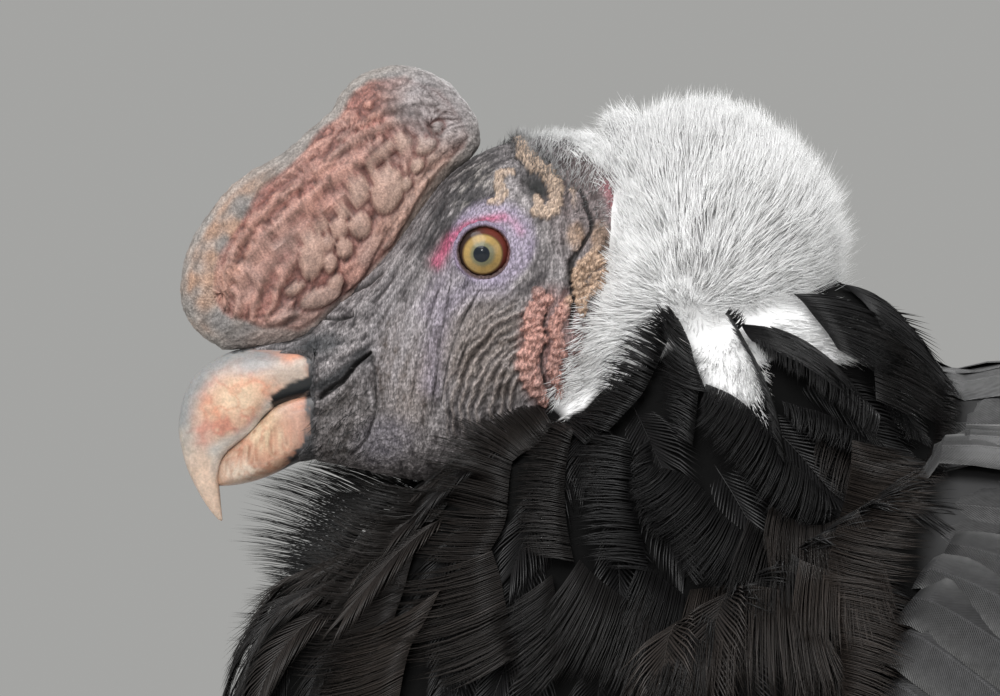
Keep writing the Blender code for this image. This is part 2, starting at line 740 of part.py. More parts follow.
def tail_vane(i, side):
    """The rows of one tail feather, which stays on its own side of the middle."""
    rows = []
    for share, width in ((0.05, 0.58), (0.45, 0.92), (0.90, 0.94), (1.0, 0.34)):
        along = TAIL_LENGTH * share * (1 - 0.004 * i * i)
        shaft = 0.006 + 0.003 * i + TAIL_FAN * (i + 0.45) * share
        row = []
        for edge in (-1, 0, 1):
            across = max(shaft + edge * TAIL_FEATHER_HALF * width, 0.0004)
            up = -i * TAIL_STEP - abs(across) * 0.04
            thick = VANE_THICK * (1.0 if edge == 0 else 0.62) * MM / 2
            row.append([tail_point(along, across * side, up + t) for t in (thick, -thick)])
        rows.append(row)
    return rows


# The legs, in metres: each station is x, side, height, radius along x, radius across.
THIGH = [
    (-0.1504, 0.072, 0.380, 0.060, 0.040),
    (-0.1484, 0.074, 0.320, 0.064, 0.044),
    (-0.1364, 0.075, 0.265, 0.056, 0.041),
    (-0.1184, 0.074, 0.215, 0.043, 0.034),
    (-0.1004, 0.073, 0.175, 0.029, 0.025),
    (-0.0904, 0.073, 0.147, 0.018, 0.017),
]
SHANK = [
    (-0.0904, 0.073, 0.147 - GAP, 0.0130, 0.0122),
    (-0.0914, 0.073, 0.136, 0.0132, 0.0125),
    (-0.0984, 0.073, 0.110, 0.0100, 0.0095),
    (-0.1084, 0.073, 0.075, 0.0098, 0.0092),
    (-0.1164, 0.073, 0.048, 0.0118, 0.0110),
]
FOOT_STUB = [
    (-0.1164, 0.073, 0.048 - GAP, 0.0120, 0.0112),
    (-0.1204, 0.073, 0.034, 0.0150, 0.0145),
    (-0.1234, 0.073, 0.016, 0.0185, 0.0180),
    (-0.1244, 0.073, -0.004, 0.0160, 0.0160),
]
# Each toe: its length in metres, its heading in degrees from straight ahead (outwards positive),
# and its radius at the root.
TOES = [
    ("inner", 0.058, -26.0, 0.0095),
    ("middle", 0.100, 2.0, 0.0100),
    ("outer", 0.066, 26.0, 0.0090),
    ("hind", 0.034, 172.0, 0.0080),
]
TOE_TIP_SHARE = 0.66
CLAW_LENGTH = 0.027
CLAW_DROP = 0.40
LEG_SIDES = 10


def flat_rings(stations, side, sides=LEG_SIDES):
    """Level rings, mirrored to one side of the bird."""
    rings = []
    for x, across, height, along, wide in stations:
        ring = []
        for k in range(sides):
            turn = 2 * math.pi * k / sides
            out = Vector((along * math.cos(turn), wide * math.sin(turn), 0))
            ring.append(Vector((x, across * side, height)) + out)
        rings.append(ring)
    return rings


def toe_axes(heading, side):
    """The level direction of a toe and the one across it."""
    turn = math.radians(heading) * side
    along = Vector((-math.cos(turn), math.sin(turn), 0))
    return along, Vector((-along.y, along.x, 0))


def toe_rings(length, heading, radius, side):
    """A toe that swells at its joints and lies on the floor."""
    start = Vector((FOOT_STUB[-1][0], FOOT_STUB[-1][1] * side, 0))
    along, across = toe_axes(heading, side)
    rings = []
    for share, swell in ((0.0, 1.0), (0.33, 1.0), (0.5, 0.86), (0.7, 0.98), (1.0, 0.78)):
        r = radius * swell * (1 - (1 - TOE_TIP_SHARE) * share)
        centre = start + along * length * share + Vector((0, 0, r * 0.86))
        ring = []
        for k in range(8):
            turn = 2 * math.pi * (k + 0.5) / 8
            ring.append(centre + across * r * math.cos(turn) + Vector((0, 0, r * math.sin(turn))))
        rings.append(ring)
    return rings


def claw_rings(length, heading, radius, side):
    """A blunt curved claw from just past the toe's end."""
    start = Vector((FOOT_STUB[-1][0], FOOT_STUB[-1][1] * side, 0))
    along, across = toe_axes(heading, side)
    end_radius = radius * 0.78 * TOE_TIP_SHARE
    base = start + along * (length + GAP) + Vector((0, 0, end_radius * 0.9))
    reach = CLAW_LENGTH * radius / 0.0095
    rings = []
    for share in (0.0, 0.35, 0.65, 0.88):
        r = end_radius * 0.86 * (1 - share) ** 0.7
        centre = base + along * reach * share + Vector((0, 0, -end_radius * CLAW_DROP * share))
        centre.z = max(centre.z, r + 2 * GAP)
        ring = []
        for k in range(8):
            turn = 2 * math.pi * (k + 0.5) / 8
            ring.append(centre + across * r * 0.8 * math.cos(turn) + Vector((0, 0, r * math.sin(turn))))
        rings.append(ring)
    tip = base + along * reach
    tip.z = 2 * GAP
    return rings, tip


def make_legs(parts, tools):
    """Feathered thigh, bare shank and foot with four toes, and a claw on each toe."""
    legs = []
    for side, name in ((-1, "left"), (1, "right")):
        thigh = add_object(f"thigh_{name}", loft(flat_rings(THIGH, side)), parts, "black")
        legs.append(thigh)
        add_object(f"shank_{name}", loft(flat_rings(SHANK, side)), parts, "scales")
        foot = add_object(f"foot_{name}", loft(flat_rings(FOOT_STUB, side)), parts, "scales")
        for toe, length, heading, radius in TOES:
            add_object(f"toe_{toe}", loft(toe_rings(length, heading, radius, side)), tools, "scales")
            rings, tip = claw_rings(length, heading, radius, side)
            add_object(f"claw_{name}_{toe}", loft(rings, last=tip), parts, "claw")
        boolean(foot, tools, "UNION")
        boolean(foot, floor_cutter(tools), "DIFFERENCE")
    return legs


def floor_cutter(tools):
    """A block whose top is the floor, which gives the soles their flats."""
    made = bmesh.new()
    bmesh.ops.create_cube(made, size=1)
    for vert in made.verts:
        vert.co.z -= 0.5
    return add_object("floor_cutter", made, tools, "black")


def main():
    clear_scene()
    parts = new_collection("andean_condor")
    tools = new_collection("tools")
    torso = make_torso(parts)
    head = make_head(parts, tools)
    bill_upper, bill_lower = make_bill(parts)
    comb = make_comb(parts, tools)
    ruff = make_ruff(parts, tools)
    neck = make_neck(parts)
    eyes = make_eyes(parts)
    wings = make_wings(parts, tools)
    make_tail(parts, tools)
    thighs = make_legs(parts, tools)

    smooth_head = add_object(
        "head_shape", loft(head_rings(HEAD, HEAD_SIDES), last=head_point(*HEAD_BACK)), tools, "skin"
    )
    boolean(bill_lower, grown_copy(bill_upper, GAP, tools), "DIFFERENCE")
    boolean(comb, grown_copy(bill_upper, GAP, tools), "DIFFERENCE")
    boolean(ruff, grown_copy(torso, GAP, tools), "DIFFERENCE")
    for other in (ruff, torso):
        boolean(neck, grown_copy(other, GAP, tools), "DIFFERENCE")
    for obj in (comb, ruff, neck):
        boolean(obj, grown_copy(smooth_head, 2 * GAP, tools), "DIFFERENCE")
    for other in (ruff, neck):
        boolean(head, grown_copy(other, GAP, tools), "DIFFERENCE")
    for wing in wings:
        boolean(wing, grown_copy(torso, GAP, tools), "DIFFERENCE")
        boolean(wing, grown_copy(neck, GAP, tools), "DIFFERENCE")
    for thigh in thighs:
        boolean(thigh, grown_copy(torso, GAP, tools), "DIFFERENCE")
    for eye in eyes:
        boolean(head, grown_copy(eye, GAP, tools), "DIFFERENCE")
    bpy.data.objects.remove(smooth_head, do_unlink=True)
    add_ruff_locks(ruff, (head, neck, torso, comb), tools)


main()
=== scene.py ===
"""The andean condor's looks: one skin, comb, bill, eyes and legs, and its coat of down and feathers.

The bird faces -X and its left side faces -Y. Places on the head are given in pixels of the photo,
which shows the left side; the right side mirrors it. Places on the body are given in metres back
from the shoulder and an angle from the top line.
"""

import math

import bmesh
import bpy
import numpy as np
from mathutils import Euler, Matrix, Vector
from mathutils.bvhtree import BVHTree


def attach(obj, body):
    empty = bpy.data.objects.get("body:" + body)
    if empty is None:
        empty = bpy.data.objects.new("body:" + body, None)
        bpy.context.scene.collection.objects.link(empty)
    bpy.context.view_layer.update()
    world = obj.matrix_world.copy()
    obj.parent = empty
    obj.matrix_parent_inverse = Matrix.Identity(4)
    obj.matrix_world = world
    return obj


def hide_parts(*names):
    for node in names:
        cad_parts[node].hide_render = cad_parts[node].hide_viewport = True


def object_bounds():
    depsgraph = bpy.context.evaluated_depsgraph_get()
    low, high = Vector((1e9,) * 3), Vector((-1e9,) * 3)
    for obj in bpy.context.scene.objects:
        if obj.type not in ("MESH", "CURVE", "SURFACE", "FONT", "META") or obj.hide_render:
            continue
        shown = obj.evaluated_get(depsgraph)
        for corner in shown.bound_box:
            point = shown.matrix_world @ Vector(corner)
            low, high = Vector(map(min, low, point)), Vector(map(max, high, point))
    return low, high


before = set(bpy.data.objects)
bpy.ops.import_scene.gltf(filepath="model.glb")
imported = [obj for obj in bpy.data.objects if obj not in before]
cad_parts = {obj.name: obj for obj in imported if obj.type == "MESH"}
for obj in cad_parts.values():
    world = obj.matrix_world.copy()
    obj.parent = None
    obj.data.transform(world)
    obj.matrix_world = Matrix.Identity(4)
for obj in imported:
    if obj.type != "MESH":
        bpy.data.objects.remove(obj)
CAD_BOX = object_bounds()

MM = 0.001
WHITE = (0.80, 0.80, 0.80)
FEATHER_BLACK = (0.013, 0.0125, 0.013)

# The camera, and the photo's frame in pixels.
CAM_DISTANCE = 2.5
CAM_X = -0.3233
CAM_Z = 0.6315
CAM_LENS = 300.0
FRAME_MIDDLE = (500.0, 348.0)
PIXEL = 0.0003
MM_PER_PIXEL = 0.3
# The eye's middle in the photo.
EYE_AT = (483, 253)
MIRROR = (1, -1, 1)

# The CAD's own places and shapes.
EYE_X = -0.3284
EYE_Z = 0.660
SHOULDER_X = -0.3084
SHOULDER_Z = 0.505
BODY_PITCH = math.radians(22)
BODY = [
    (-0.098, 0.012, 0.008, 0.012), (-0.090, 0.045, 0.028, 0.045), (-0.060, 0.088, 0.056, 0.090),
    (-0.010, 0.122, 0.096, 0.128), (0.060, 0.141, 0.140, 0.162), (0.140, 0.147, 0.155, 0.182),
    (0.230, 0.138, 0.132, 0.174), (0.330, 0.113, 0.098, 0.132), (0.400, 0.090, 0.074, 0.086),
    (0.450, 0.076, 0.062, 0.052), (0.520, 0.064, 0.052, 0.040), (0.620, 0.056, 0.044, 0.034),
    (0.760, 0.048, 0.036, 0.030),
]
TORSO_START = -0.098
TORSO_END = 0.450
HEAD = [
    (50.4, -20.5, 50.0, -60.0, 12.0), (49.0, -19.0, 49.0, -61.5, 13.4),
    (45.0, -15.5, 42.5, -63.5, 14.8), (38.0, -9.5, 34.0, -65.5, 18.5),
    (28.5, 0.0, 24.0, -67.5, 22.5), (19.5, 12.0, 14.5, -68.5, 26.0),
    (10.0, 23.5, 5.5, -68.5, 29.0), (-1.5, 31.0, -5.0, -67.0, 31.0),
    (-13.0, 34.0, -15.5, -63.0, 32.0), (-25.0, 35.2, -25.5, -58.0, 32.0),
    (-37.0, 33.5, -36.5, -51.0, 30.5), (-47.5, 28.0, -46.0, -42.0, 26.5),
    (-55.5, 17.5, -54.0, -29.0, 18.5), (-60.5, -5.0, -60.5, -9.0, 2.0),
]
BILL_UPPER = [
    (43.0, -27.5, 43.0, -42.5, 10.5), (49.35, -27.3, 49.35, -43.4, 12.2),
    (55.0, -27.8, 53.5, -44.2, 12.8), (64.0, -28.2, 58.5, -45.4, 12.9),
    (73.3, -29.0, 63.4, -47.4, 12.5), (79.8, -31.5, 66.0, -49.8, 11.8),
    (84.0, -34.5, 67.8, -52.6, 11.0), (87.4, -38.4, 70.4, -55.0, 10.2),
    (90.1, -44.5, 73.4, -57.2, 8.9), (91.3, -52.5, 76.6, -59.8, 7.4),
    (90.3, -59.0, 78.4, -62.5, 6.1), (88.6, -64.8, 79.4, -66.5, 4.7),
    (85.9, -70.5, 79.0, -71.5, 3.4), (82.5, -76.3, 78.4, -76.9, 1.9),
    (79.9, -79.6, 78.1, -79.8, 0.8), (79.0, -80.3, 78.3, -80.4, 0.1),
]
BILL_LOWER = [
    (43.0, -41.0, 43.0, -58.5, 10.0), (49.35, -41.5, 49.35, -61.2, 11.5),
    (55.0, -42.2, 55.5, -62.8, 11.5), (61.0, -44.5, 61.5, -65.7, 10.9),
    (65.0, -48.5, 67.0, -67.9, 9.8), (69.0, -52.5, 71.5, -69.1, 8.3),
    (73.0, -56.3, 75.2, -69.7, 6.3), (77.0, -59.8, 78.0, -69.9, 4.3),
    (79.6, -64.0, 79.4, -69.8, 2.2), (80.2, -68.0, 79.8, -69.6, 0.4),
]
NECK = [
    (60.0, -150.0, -152.0, -150.0, 116.0), (58.0, -122.0, -145.0, -118.0, 112.0),
    (46.0, -98.0, -143.0, -94.0, 104.0), (27.0, -78.0, -142.0, -70.0, 92.0),
    (2.0, -58.0, -142.0, -48.0, 78.0), (-28.0, -38.0, -136.0, -28.0, 60.0),
    (-62.0, -20.0, -122.0, -12.0, 36.0), (-95.0, -8.0, -95.2, -8.0, 0.4),
]
COMB_OUTLINE = [
    (78.3, -29.2), (84.9, -24.6), (89.1, -18.6), (90.9, -11.1), (90.0, -3.6), (87.3, 3.9),
    (82.8, 11.4), (77.4, 18.0), (71.4, 23.4), (60.9, 29.4), (53.4, 36.0), (45.9, 42.3),
    (42.0, 48.6), (35.1, 54.0), (23.4, 56.4), (11.4, 51.6), (2.7, 42.3), (0.6, 35.4),
    (2.7, 29.4), (10.5, 22.5), (17.4, 12.9), (24.3, 0.9), (32.4, -8.7), (41.7, -17.1),
    (54.0, -26.2), (66.6, -28.6),
]
COMB_LINE = [(EYE_AT[0] - f / MM_PER_PIXEL, EYE_AT[1] - v / MM_PER_PIXEL)
             for f, v in COMB_OUTLINE + COMB_OUTLINE[:1]]
COMB_SPINE = ((78.0, -12.0), (16.0, 38.0))
COMB_THICK = 7.0
THIGH = [
    (-0.1504, 0.072, 0.380, 0.060, 0.040), (-0.1484, 0.074, 0.320, 0.064, 0.044),
    (-0.1364, 0.075, 0.265, 0.056, 0.041), (-0.1184, 0.074, 0.215, 0.043, 0.034),
    (-0.1004, 0.073, 0.175, 0.029, 0.025), (-0.0904, 0.073, 0.147, 0.018, 0.017),
]
# The head's centre, from which its skin faces away: mm forward of the eye, up and to the side.
HEAD_CENTRE = (-5, -18, 0)
EYE_RADIUS = 10.2
EYE_SIDE = 22.2


def lattice(ix, iy, iz, seed):
    """A number from 0 to 1 for each whole place of a lattice."""
    h = ix * 73856093 ^ iy * 19349663 ^ iz * 83492791 ^ (seed + 1) * 374761393
    h = (h ^ (h >> 13)) * 1274126177
    h = (h ^ (h >> 16)) & 0xFFFFFF
    return h / 0xFFFFFF


def noise(points, size, seed=0):
    """Smooth noise from -1 to 1 whose lumps have a size in the points' own unit."""
    q = points / size
    base = np.floor(q).astype(np.int64)
    t = q - base
    t = t * t * (3 - 2 * t)
    total = np.zeros(len(points))
    for corner in range(8):
        step = [(corner >> k) & 1 for k in range(3)]
        weight = np.ones(len(points))
        for k in range(3):
            weight *= t[:, k] if step[k] else 1 - t[:, k]
        total += weight * lattice(*(base[:, k] + step[k] for k in range(3)), seed)
    return 2 * total - 1


def cells(points, size, seed=0):
    """For scattered cells: the distance to the nearest centre, to the second nearest, and a number
    for the nearest."""
    q = points / size
    base = np.floor(q).astype(np.int64)
    first = np.full(len(q), 9.0)
    second = np.full(len(q), 9.0)
    which = np.zeros(len(q))
    for dx in (-1, 0, 1):
        for dy in (-1, 0, 1):
            for dz in (-1, 0, 1):
                c = base + (dx, dy, dz)
                place = np.stack([lattice(c[:, 0], c[:, 1], c[:, 2], seed + k) for k in range(3)], 1)
                d = np.linalg.norm(c + 0.1 + 0.8 * place - q, axis=1)
                nearer = d < first
                second = np.where(nearer, first, np.minimum(second, d))
                which = np.where(nearer, lattice(c[:, 0], c[:, 1], c[:, 2], seed + 5), which)
                first = np.minimum(first, d)
    return first, second, which


def smooth(low, high, value):
    """A step from 0 to 1 between two values."""
    t = np.clip((value - low) / (high - low), 0, 1)
    return t * t * (3 - 2 * t)


def looked_up(table, at):
    """The second numbers of a table of pairs at places among the first ones."""
    keys = np.asarray(table, float)
    return np.interp(at, keys[:, 0], keys[:, 1])


def squared(value, power):
    """A number raised to a power with its sign kept. A power below 1 squares a circle."""
    return np.sign(value) * np.abs(value) ** power


def spline(table, at):
    """Rows of a table at fractional indexes, on a Catmull-Rom curve."""
    table = np.asarray(table, float)
    last = len(table) - 1
    at = np.clip(at, 0, last)
    i = np.minimum(at.astype(int), last - 1)
    t = (at - i)[:, None]
    a, b, c, d = (table[np.clip(i + k, 0, last)] for k in (-1, 0, 1, 2))
    return b + 0.5 * t * (c - a + t * (2 * a - 5 * b + 4 * c - d + t * (3 * (b - c) + d - a)))


def body_rows(along):
    """Half width, height above the axis and depth below it, at places along the body."""
    keys = np.array([row[0] for row in BODY])
    at = np.interp(along, keys, np.arange(len(keys)))
    return spline([row[1:] for row in BODY], at)


def body_point(along, angle, lift):
    """Points on the body: metres back along it, angle down from its top line (positive on the
    bird's right), and metres outside it."""
    along, angle, lift = np.broadcast_arrays(along, angle, lift)
    rows = body_rows(along.ravel()).reshape(along.shape + (3,))
    height = np.where(np.cos(angle) > 0, rows[..., 1], rows[..., 2]) + lift
    side = (rows[..., 0] + lift) * np.sin(angle)
    return body_frame(along, side, height * np.cos(angle))


def body_frame(along, side, up):
    """Points given in metres back along the body, to the bird's right and off its axis."""
    c, s = math.cos(BODY_PITCH), math.sin(BODY_PITCH)
    return np.stack([SHOULDER_X + along * c + up * s, side, SHOULDER_Z - along * s + up * c], -1)


def head_place(forward, up, side):
    """Points given in mm forward of the eye, above it, and to the bird's right of its middle."""
    forward, up, side = np.broadcast_arrays(forward, up, side)
    return np.stack([EYE_X - forward * MM, side * MM, EYE_Z + up * MM], -1)


def seen(points):
    """The photo's pixels that points of the left side show at; the right side mirrors it."""
    k = CAM_DISTANCE / (CAM_DISTANCE - np.abs(points[:, 1])) / PIXEL
    return (
        FRAME_MIDDLE[0] + (points[:, 0] - CAM_X) * k,
        FRAME_MIDDLE[1] - (points[:, 2] - CAM_Z) * k,
    )


def behind(x, y, side):
    """The points that the camera sees at pixels, at signed distances from the middle plane."""
    k = (CAM_DISTANCE + side) / CAM_DISTANCE * PIXEL
    return np.stack(
        [CAM_X + (x - FRAME_MIDDLE[0]) * k, side, CAM_Z - (y - FRAME_MIDDLE[1]) * k], -1
    )


def on_left(points):
    """Points with those of the right side mirrored to the left."""
    return np.where(points[:, 1:2] > 0, points * MIRROR, points)


def unit(v):
    """Vectors scaled to a length of 1."""
    return v / np.maximum(np.linalg.norm(v, axis=-1, keepdims=True), 1e-12)


def grid_faces(rows, cols, wrap=False):
    """Two triangles for each cell of a grid of points."""
    i, j = np.meshgrid(np.arange(rows - 1), np.arange(cols if wrap else cols - 1), indexing="ij")
    k = (j + 1) % cols
    a, b, c, d = i * cols + j, i * cols + k, (i + 1) * cols + k, (i + 1) * cols + j
    return np.concatenate([np.stack([a, b, c], -1), np.stack([a, c, d], -1)]).reshape(-1, 3)


def new_object(name, verts, faces, material, colours=None, uvs=None):
    """An object from arrays of points and triangles, with a colour and a place on the coat's map
    for each point."""
    mesh = bpy.data.meshes.new(name)
    faces = np.ascontiguousarray(faces, np.int32)
    mesh.vertices.add(len(verts))
    mesh.vertices.foreach_set("co", np.ascontiguousarray(verts, np.float32).ravel())
    mesh.loops.add(faces.size)
    mesh.loops.foreach_set("vertex_index", faces.ravel())
    mesh.polygons.add(len(faces))
    mesh.polygons.foreach_set("loop_start", np.arange(0, faces.size, 3, dtype=np.int32))
    mesh.update(calc_edges=True)
    mesh.shade_smooth()
    if colours is not None:
        tone = mesh.attributes.new("tone", "FLOAT_COLOR", "POINT")
        full = np.ones((len(verts), 4), np.float32)
        full[:, :3] = np.clip(colours, 0, 1)
        tone.data.foreach_set("color", full.ravel())
    if uvs is not None:
        layer = mesh.uv_layers.new(name="OFBake")
        layer.data.foreach_set("uv", np.ascontiguousarray(uvs[faces.ravel()], np.float32).ravel())
    mesh.materials.append(material)
    obj = bpy.data.objects.new(name, mesh)
    bpy.context.scene.collection.objects.link(obj)
    return obj


def place(obj, slot, *nodes):
    """Puts a piece on the model's root and hides the parts that it stands for. slot, its finish, is not
    used.
    """
    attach(obj, "root")
    if nodes:
        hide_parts(*nodes)


# Marks on the skin, by pixel.
def line_distance(x, y, points):
    """Distance to a line through points, and how far along it the nearest place is, from 0 to 1.
    Any further numbers of the points are also given at that place."""
    pts = np.asarray(points, float)
    steps = np.linalg.norm(np.diff(pts[:, :2], axis=0), axis=1)
    ends = np.concatenate([[0], np.cumsum(steps)])
    best = np.full(len(x), 1e9)
    along = np.zeros(len(x))
    for i, length in enumerate(steps):
        d = (pts[i + 1, :2] - pts[i, :2]) / length
        t = np.clip((x - pts[i, 0]) * d[0] + (y - pts[i, 1]) * d[1], 0, length)
        gap = np.hypot(x - pts[i, 0] - d[0] * t, y - pts[i, 1] - d[1] * t)
        near = gap < best
        best = np.where(near, gap, best)
        along = np.where(near, ends[i] + t, along)
    extra = [np.interp(along, ends, pts[:, k]) for k in range(2, pts.shape[1])]
    return [best, along / ends[-1]] + extra


def spot(x, y, centre, radii, turn=0.0, soft=0.5):
    """How far pixels are inside an oval, from 0 outside to 1 in the middle."""
    c, s = math.cos(math.radians(turn)), math.sin(math.radians(turn))
    dx, dy = x - centre[0], y - centre[1]
    r = np.hypot((dx * c + dy * s) / radii[0], (-dx * s + dy * c) / radii[1])
    return 1 - smooth(1 - soft, 1 + soft, r)


def streak(x, y, line, width):
    """How near pixels are to a line: 1 on it, and fading over a width to each side."""
    gap, _ = line_distance(x, y, line)
    return np.exp(-((gap / width) ** 2))


def blend(first, second, share):
    """A colour between two: all of the first at a share of 0, all of the second at 1."""
    return np.asarray(first) * (1 - share) + np.asarray(second) * share


def mix(colours, other, share):
    """Colours, or one colour, with a share of another one at each point."""
    return blend(colours, other, np.asarray(share)[:, None])


def dabbed(colours, x, y, dabs):
    """Colours with soft ovals laid over them. Each has its colour, its share, and then its centre,
    radii, turn and softness."""
    for colour, share, *oval in dabs:
        colours = mix(colours, colour, share * spot(x, y, *oval))
    return colours


def flow(x, y, guides):
    """The direction of the skin's creases at pixels, from directions given at some places."""
    total = np.zeros((len(x), 2))
    for gx, gy, dx, dy in guides:
        w = 1 / ((x - gx) ** 2 + (y - gy) ** 2 + 60) ** 1.5
        turn = 2 * math.atan2(dy, dx)
        total += w[:, None] * (math.cos(turn), math.sin(turn))
    turn = np.arctan2(total[:, 1], total[:, 0]) / 2
    return np.cos(turn), np.sin(turn)


def smear(points, along, size, length, seed, steps=7):
    """Noise drawn out along a direction at each point."""
    total = np.zeros(len(points))
    for k in np.linspace(-0.5, 0.5, steps):
        total += noise(points + along * (k * length), size, seed)
    return total / math.sqrt(steps)


# Finishes.
def new_material(name, roughness, specular, **sockets):
    """A material, its nodes and links, and its shader, whose other inputs are named as arguments."""
    made = bpy.data.materials.new(name)
    made.use_nodes = True
    shader = made.node_tree.nodes["Principled BSDF"]
    shader.inputs["Roughness"].default_value = roughness
    shader.inputs["Specular IOR Level"].default_value = specular
    for key, value in sockets.items():
        shader.inputs[key.replace("_", " ")].default_value = value
    return made, made.node_tree.nodes, made.node_tree.links, shader


def tone_node(nodes):
    """The colour that each point carries."""
    node = nodes.new("ShaderNodeAttribute")
    node.attribute_name = "tone"
    return node.outputs["Color"]


def speckle(nodes, links, colour, scale, low, high, detail=2.0):
    """A colour darkened and lightened by fine noise, by factors, and the noise itself."""
    tex = nodes.new("ShaderNodeTexNoise")
    tex.inputs["Scale"].default_value = scale
    tex.inputs["Detail"].default_value = detail
    links.new(nodes.new("ShaderNodeTexCoord").outputs["Object"], tex.inputs["Vector"])
    factor = ranged(nodes, links, tex.outputs["Fac"], 0.3, 0.7, low, high, "LINEAR")
    return scaled(nodes, links, colour, factor), tex.outputs["Fac"]


def math_node(nodes, links, kind, a, b=0.0):
    """The result of a sum such as ADD on two values, each a number or a node's output."""
    node = nodes.new("ShaderNodeMath")
    node.operation = kind
    for value, socket in zip((a, b), node.inputs):
        if isinstance(value, (int, float)):
            socket.default_value = value
        else:
            links.new(value, socket)
    return node.outputs[0]


def ranged(nodes, links, value, low, high, to_low, to_high, kind="SMOOTHSTEP"):
    """A value carried from one range to another, smoothly unless another kind is named."""
    node = nodes.new("ShaderNodeMapRange")
    node.interpolation_type = kind
    for key, number in zip(("From Min", "From Max", "To Min", "To Max"), (low, high, to_low, to_high)):
        node.inputs[key].default_value = number
    links.new(value, node.inputs["Value"])
    return node.outputs[0]


def scaled(nodes, links, colour, factor):
    """A colour made darker or lighter by a factor."""
    node = nodes.new("ShaderNodeVectorMath")
    node.operation = "SCALE"
    links.new(colour, node.inputs[0])
    links.new(factor, node.inputs["Scale"])
    return node.outputs["Vector"]


def bump(nodes, links, shader, height, strength, distance):
    """Relief from a height, up to a distance in metres."""
    node = nodes.new("ShaderNodeBump")
    node.inputs["Strength"].default_value = strength
    node.inputs["Distance"].default_value = distance
    links.new(height, node.inputs["Height"])
    links.new(node.outputs["Normal"], shader.inputs["Normal"])


def skin_material(name, roughness, grain, low, high, depth, stretch=0.5, net=0.55, **sockets):
    """Skin with fine raised grains, drawn out upright, and a net of creases between them that are
    darkened as painted shade.
    """
    made, nodes, links, shader = new_material(name, roughness, 0.35, **sockets)
    coords = nodes.new("ShaderNodeTexCoord").outputs["Object"]
    mapping = nodes.new("ShaderNodeMapping")
    mapping.inputs["Scale"].default_value = (1.0, 1.0, stretch)
    links.new(coords, mapping.inputs["Vector"])
    tex = nodes.new("ShaderNodeTexNoise")
    tex.inputs["Scale"].default_value = grain
    tex.inputs["Detail"].default_value = 3.0
    tex.inputs["Roughness"].default_value = 0.6
    links.new(mapping.outputs["Vector"], tex.inputs["Vector"])
    cell = nodes.new("ShaderNodeTexVoronoi")
    cell.feature = "DISTANCE_TO_EDGE"
    cell.inputs["Scale"].default_value = grain * 0.72
    links.new(mapping.outputs["Vector"], cell.inputs["Vector"])
    span = ranged(nodes, links, tex.outputs["Fac"], 0.36, 0.64, low, high)
    crease = ranged(nodes, links, cell.outputs["Distance"], 0.0, 0.16, net, 1.0)
    # The creases darken the colour: painted shade.
    both = math_node(nodes, links, "MULTIPLY", span, crease)
    links.new(scaled(nodes, links, tone_node(nodes), both), shader.inputs["Base Color"])
    deep = math_node(nodes, links, "MULTIPLY", crease, 0.8)
    height = math_node(nodes, links, "ADD", tex.outputs["Fac"], deep)
    bump(nodes, links, shader, height, 1.0, depth)
    return made


def horn_material(name):
    """Horn: smooth, slightly translucent, with fine specks."""
    made, nodes, links, shader = new_material(
        name, 0.36, 0.45, Coat_Weight=0.12, Coat_Roughness=0.2, Subsurface_Weight=0.10
    )
    shader.inputs["Subsurface Radius"].default_value = (0.004, 0.002, 0.001)
    shader.inputs["Subsurface Scale"].default_value = 0.5
    colour, value = speckle(nodes, links, tone_node(nodes), 1400, 0.86, 1.14, 4.0)
    links.new(colour, shader.inputs["Base Color"])
    bump(nodes, links, shader, value, 0.25, 0.0002)
    return made


def feather_material(name, roughness, specular, low=0.75, high=1.3, scale=900, **sockets):
    """Down and barbs: the points' colours with fine specks."""
    made, nodes, links, shader = new_material(name, roughness, specular, **sockets)
    colour, value = speckle(nodes, links, tone_node(nodes), scale, low, high)
    links.new(colour, shader.inputs["Base Color"])
    bump(nodes, links, shader, value, 0.2, 0.0002)
    return made


# The head's skin. Directions of its creases: x, y, and a step along them, in pixels.
CREASE_LINES = [
    (440, 200, -1, 1.3), (410, 250, -1, 1.2), (380, 290, -1, 0.9), (350, 320, -1, 0.5),
    (470, 175, -1, 1.0), (500, 150, -1, 0.5), (430, 255, -0.6, 1), (420, 300, -0.35, 1),
    (440, 290, -0.4, 1), (400, 340, -0.2, 1), (432, 340, -0.25, 1), (445, 380, -0.2, 1),
    (410, 400, -0.1, 1), (390, 440, 0, 1), (374, 400, 0.1, 1), (345, 440, -0.5, 1),
    (340, 400, -0.8, 0.7), (350, 345, -1, 0.45), (330, 340, -1, 0.2), (535, 260, -0.15, 1),
    (550, 240, 0.1, 1), (560, 205, 0.15, 1), (590, 220, 0.15, 1), (600, 180, 0.5, 1),
    (575, 170, 0.6, 1), (525, 285, -0.7, 0.7), (492, 300, -0.8, 0.6), (468, 322, -0.6, 0.9),
    (490, 330, -0.9, 0.5), (510, 320, -0.9, 0.5), (480, 350, -0.8, 0.7), (462, 370, -0.4, 1),
    (505, 350, -1, 0.3), (500, 375, -0.9, 0.5), (545, 340, 0, 1), (562, 350, -0.1, 1),
    (550, 290, -0.3, 1), (600, 275, -0.3, 1), (580, 310, -0.2, 1), (530, 150, 0.6, 1),
]
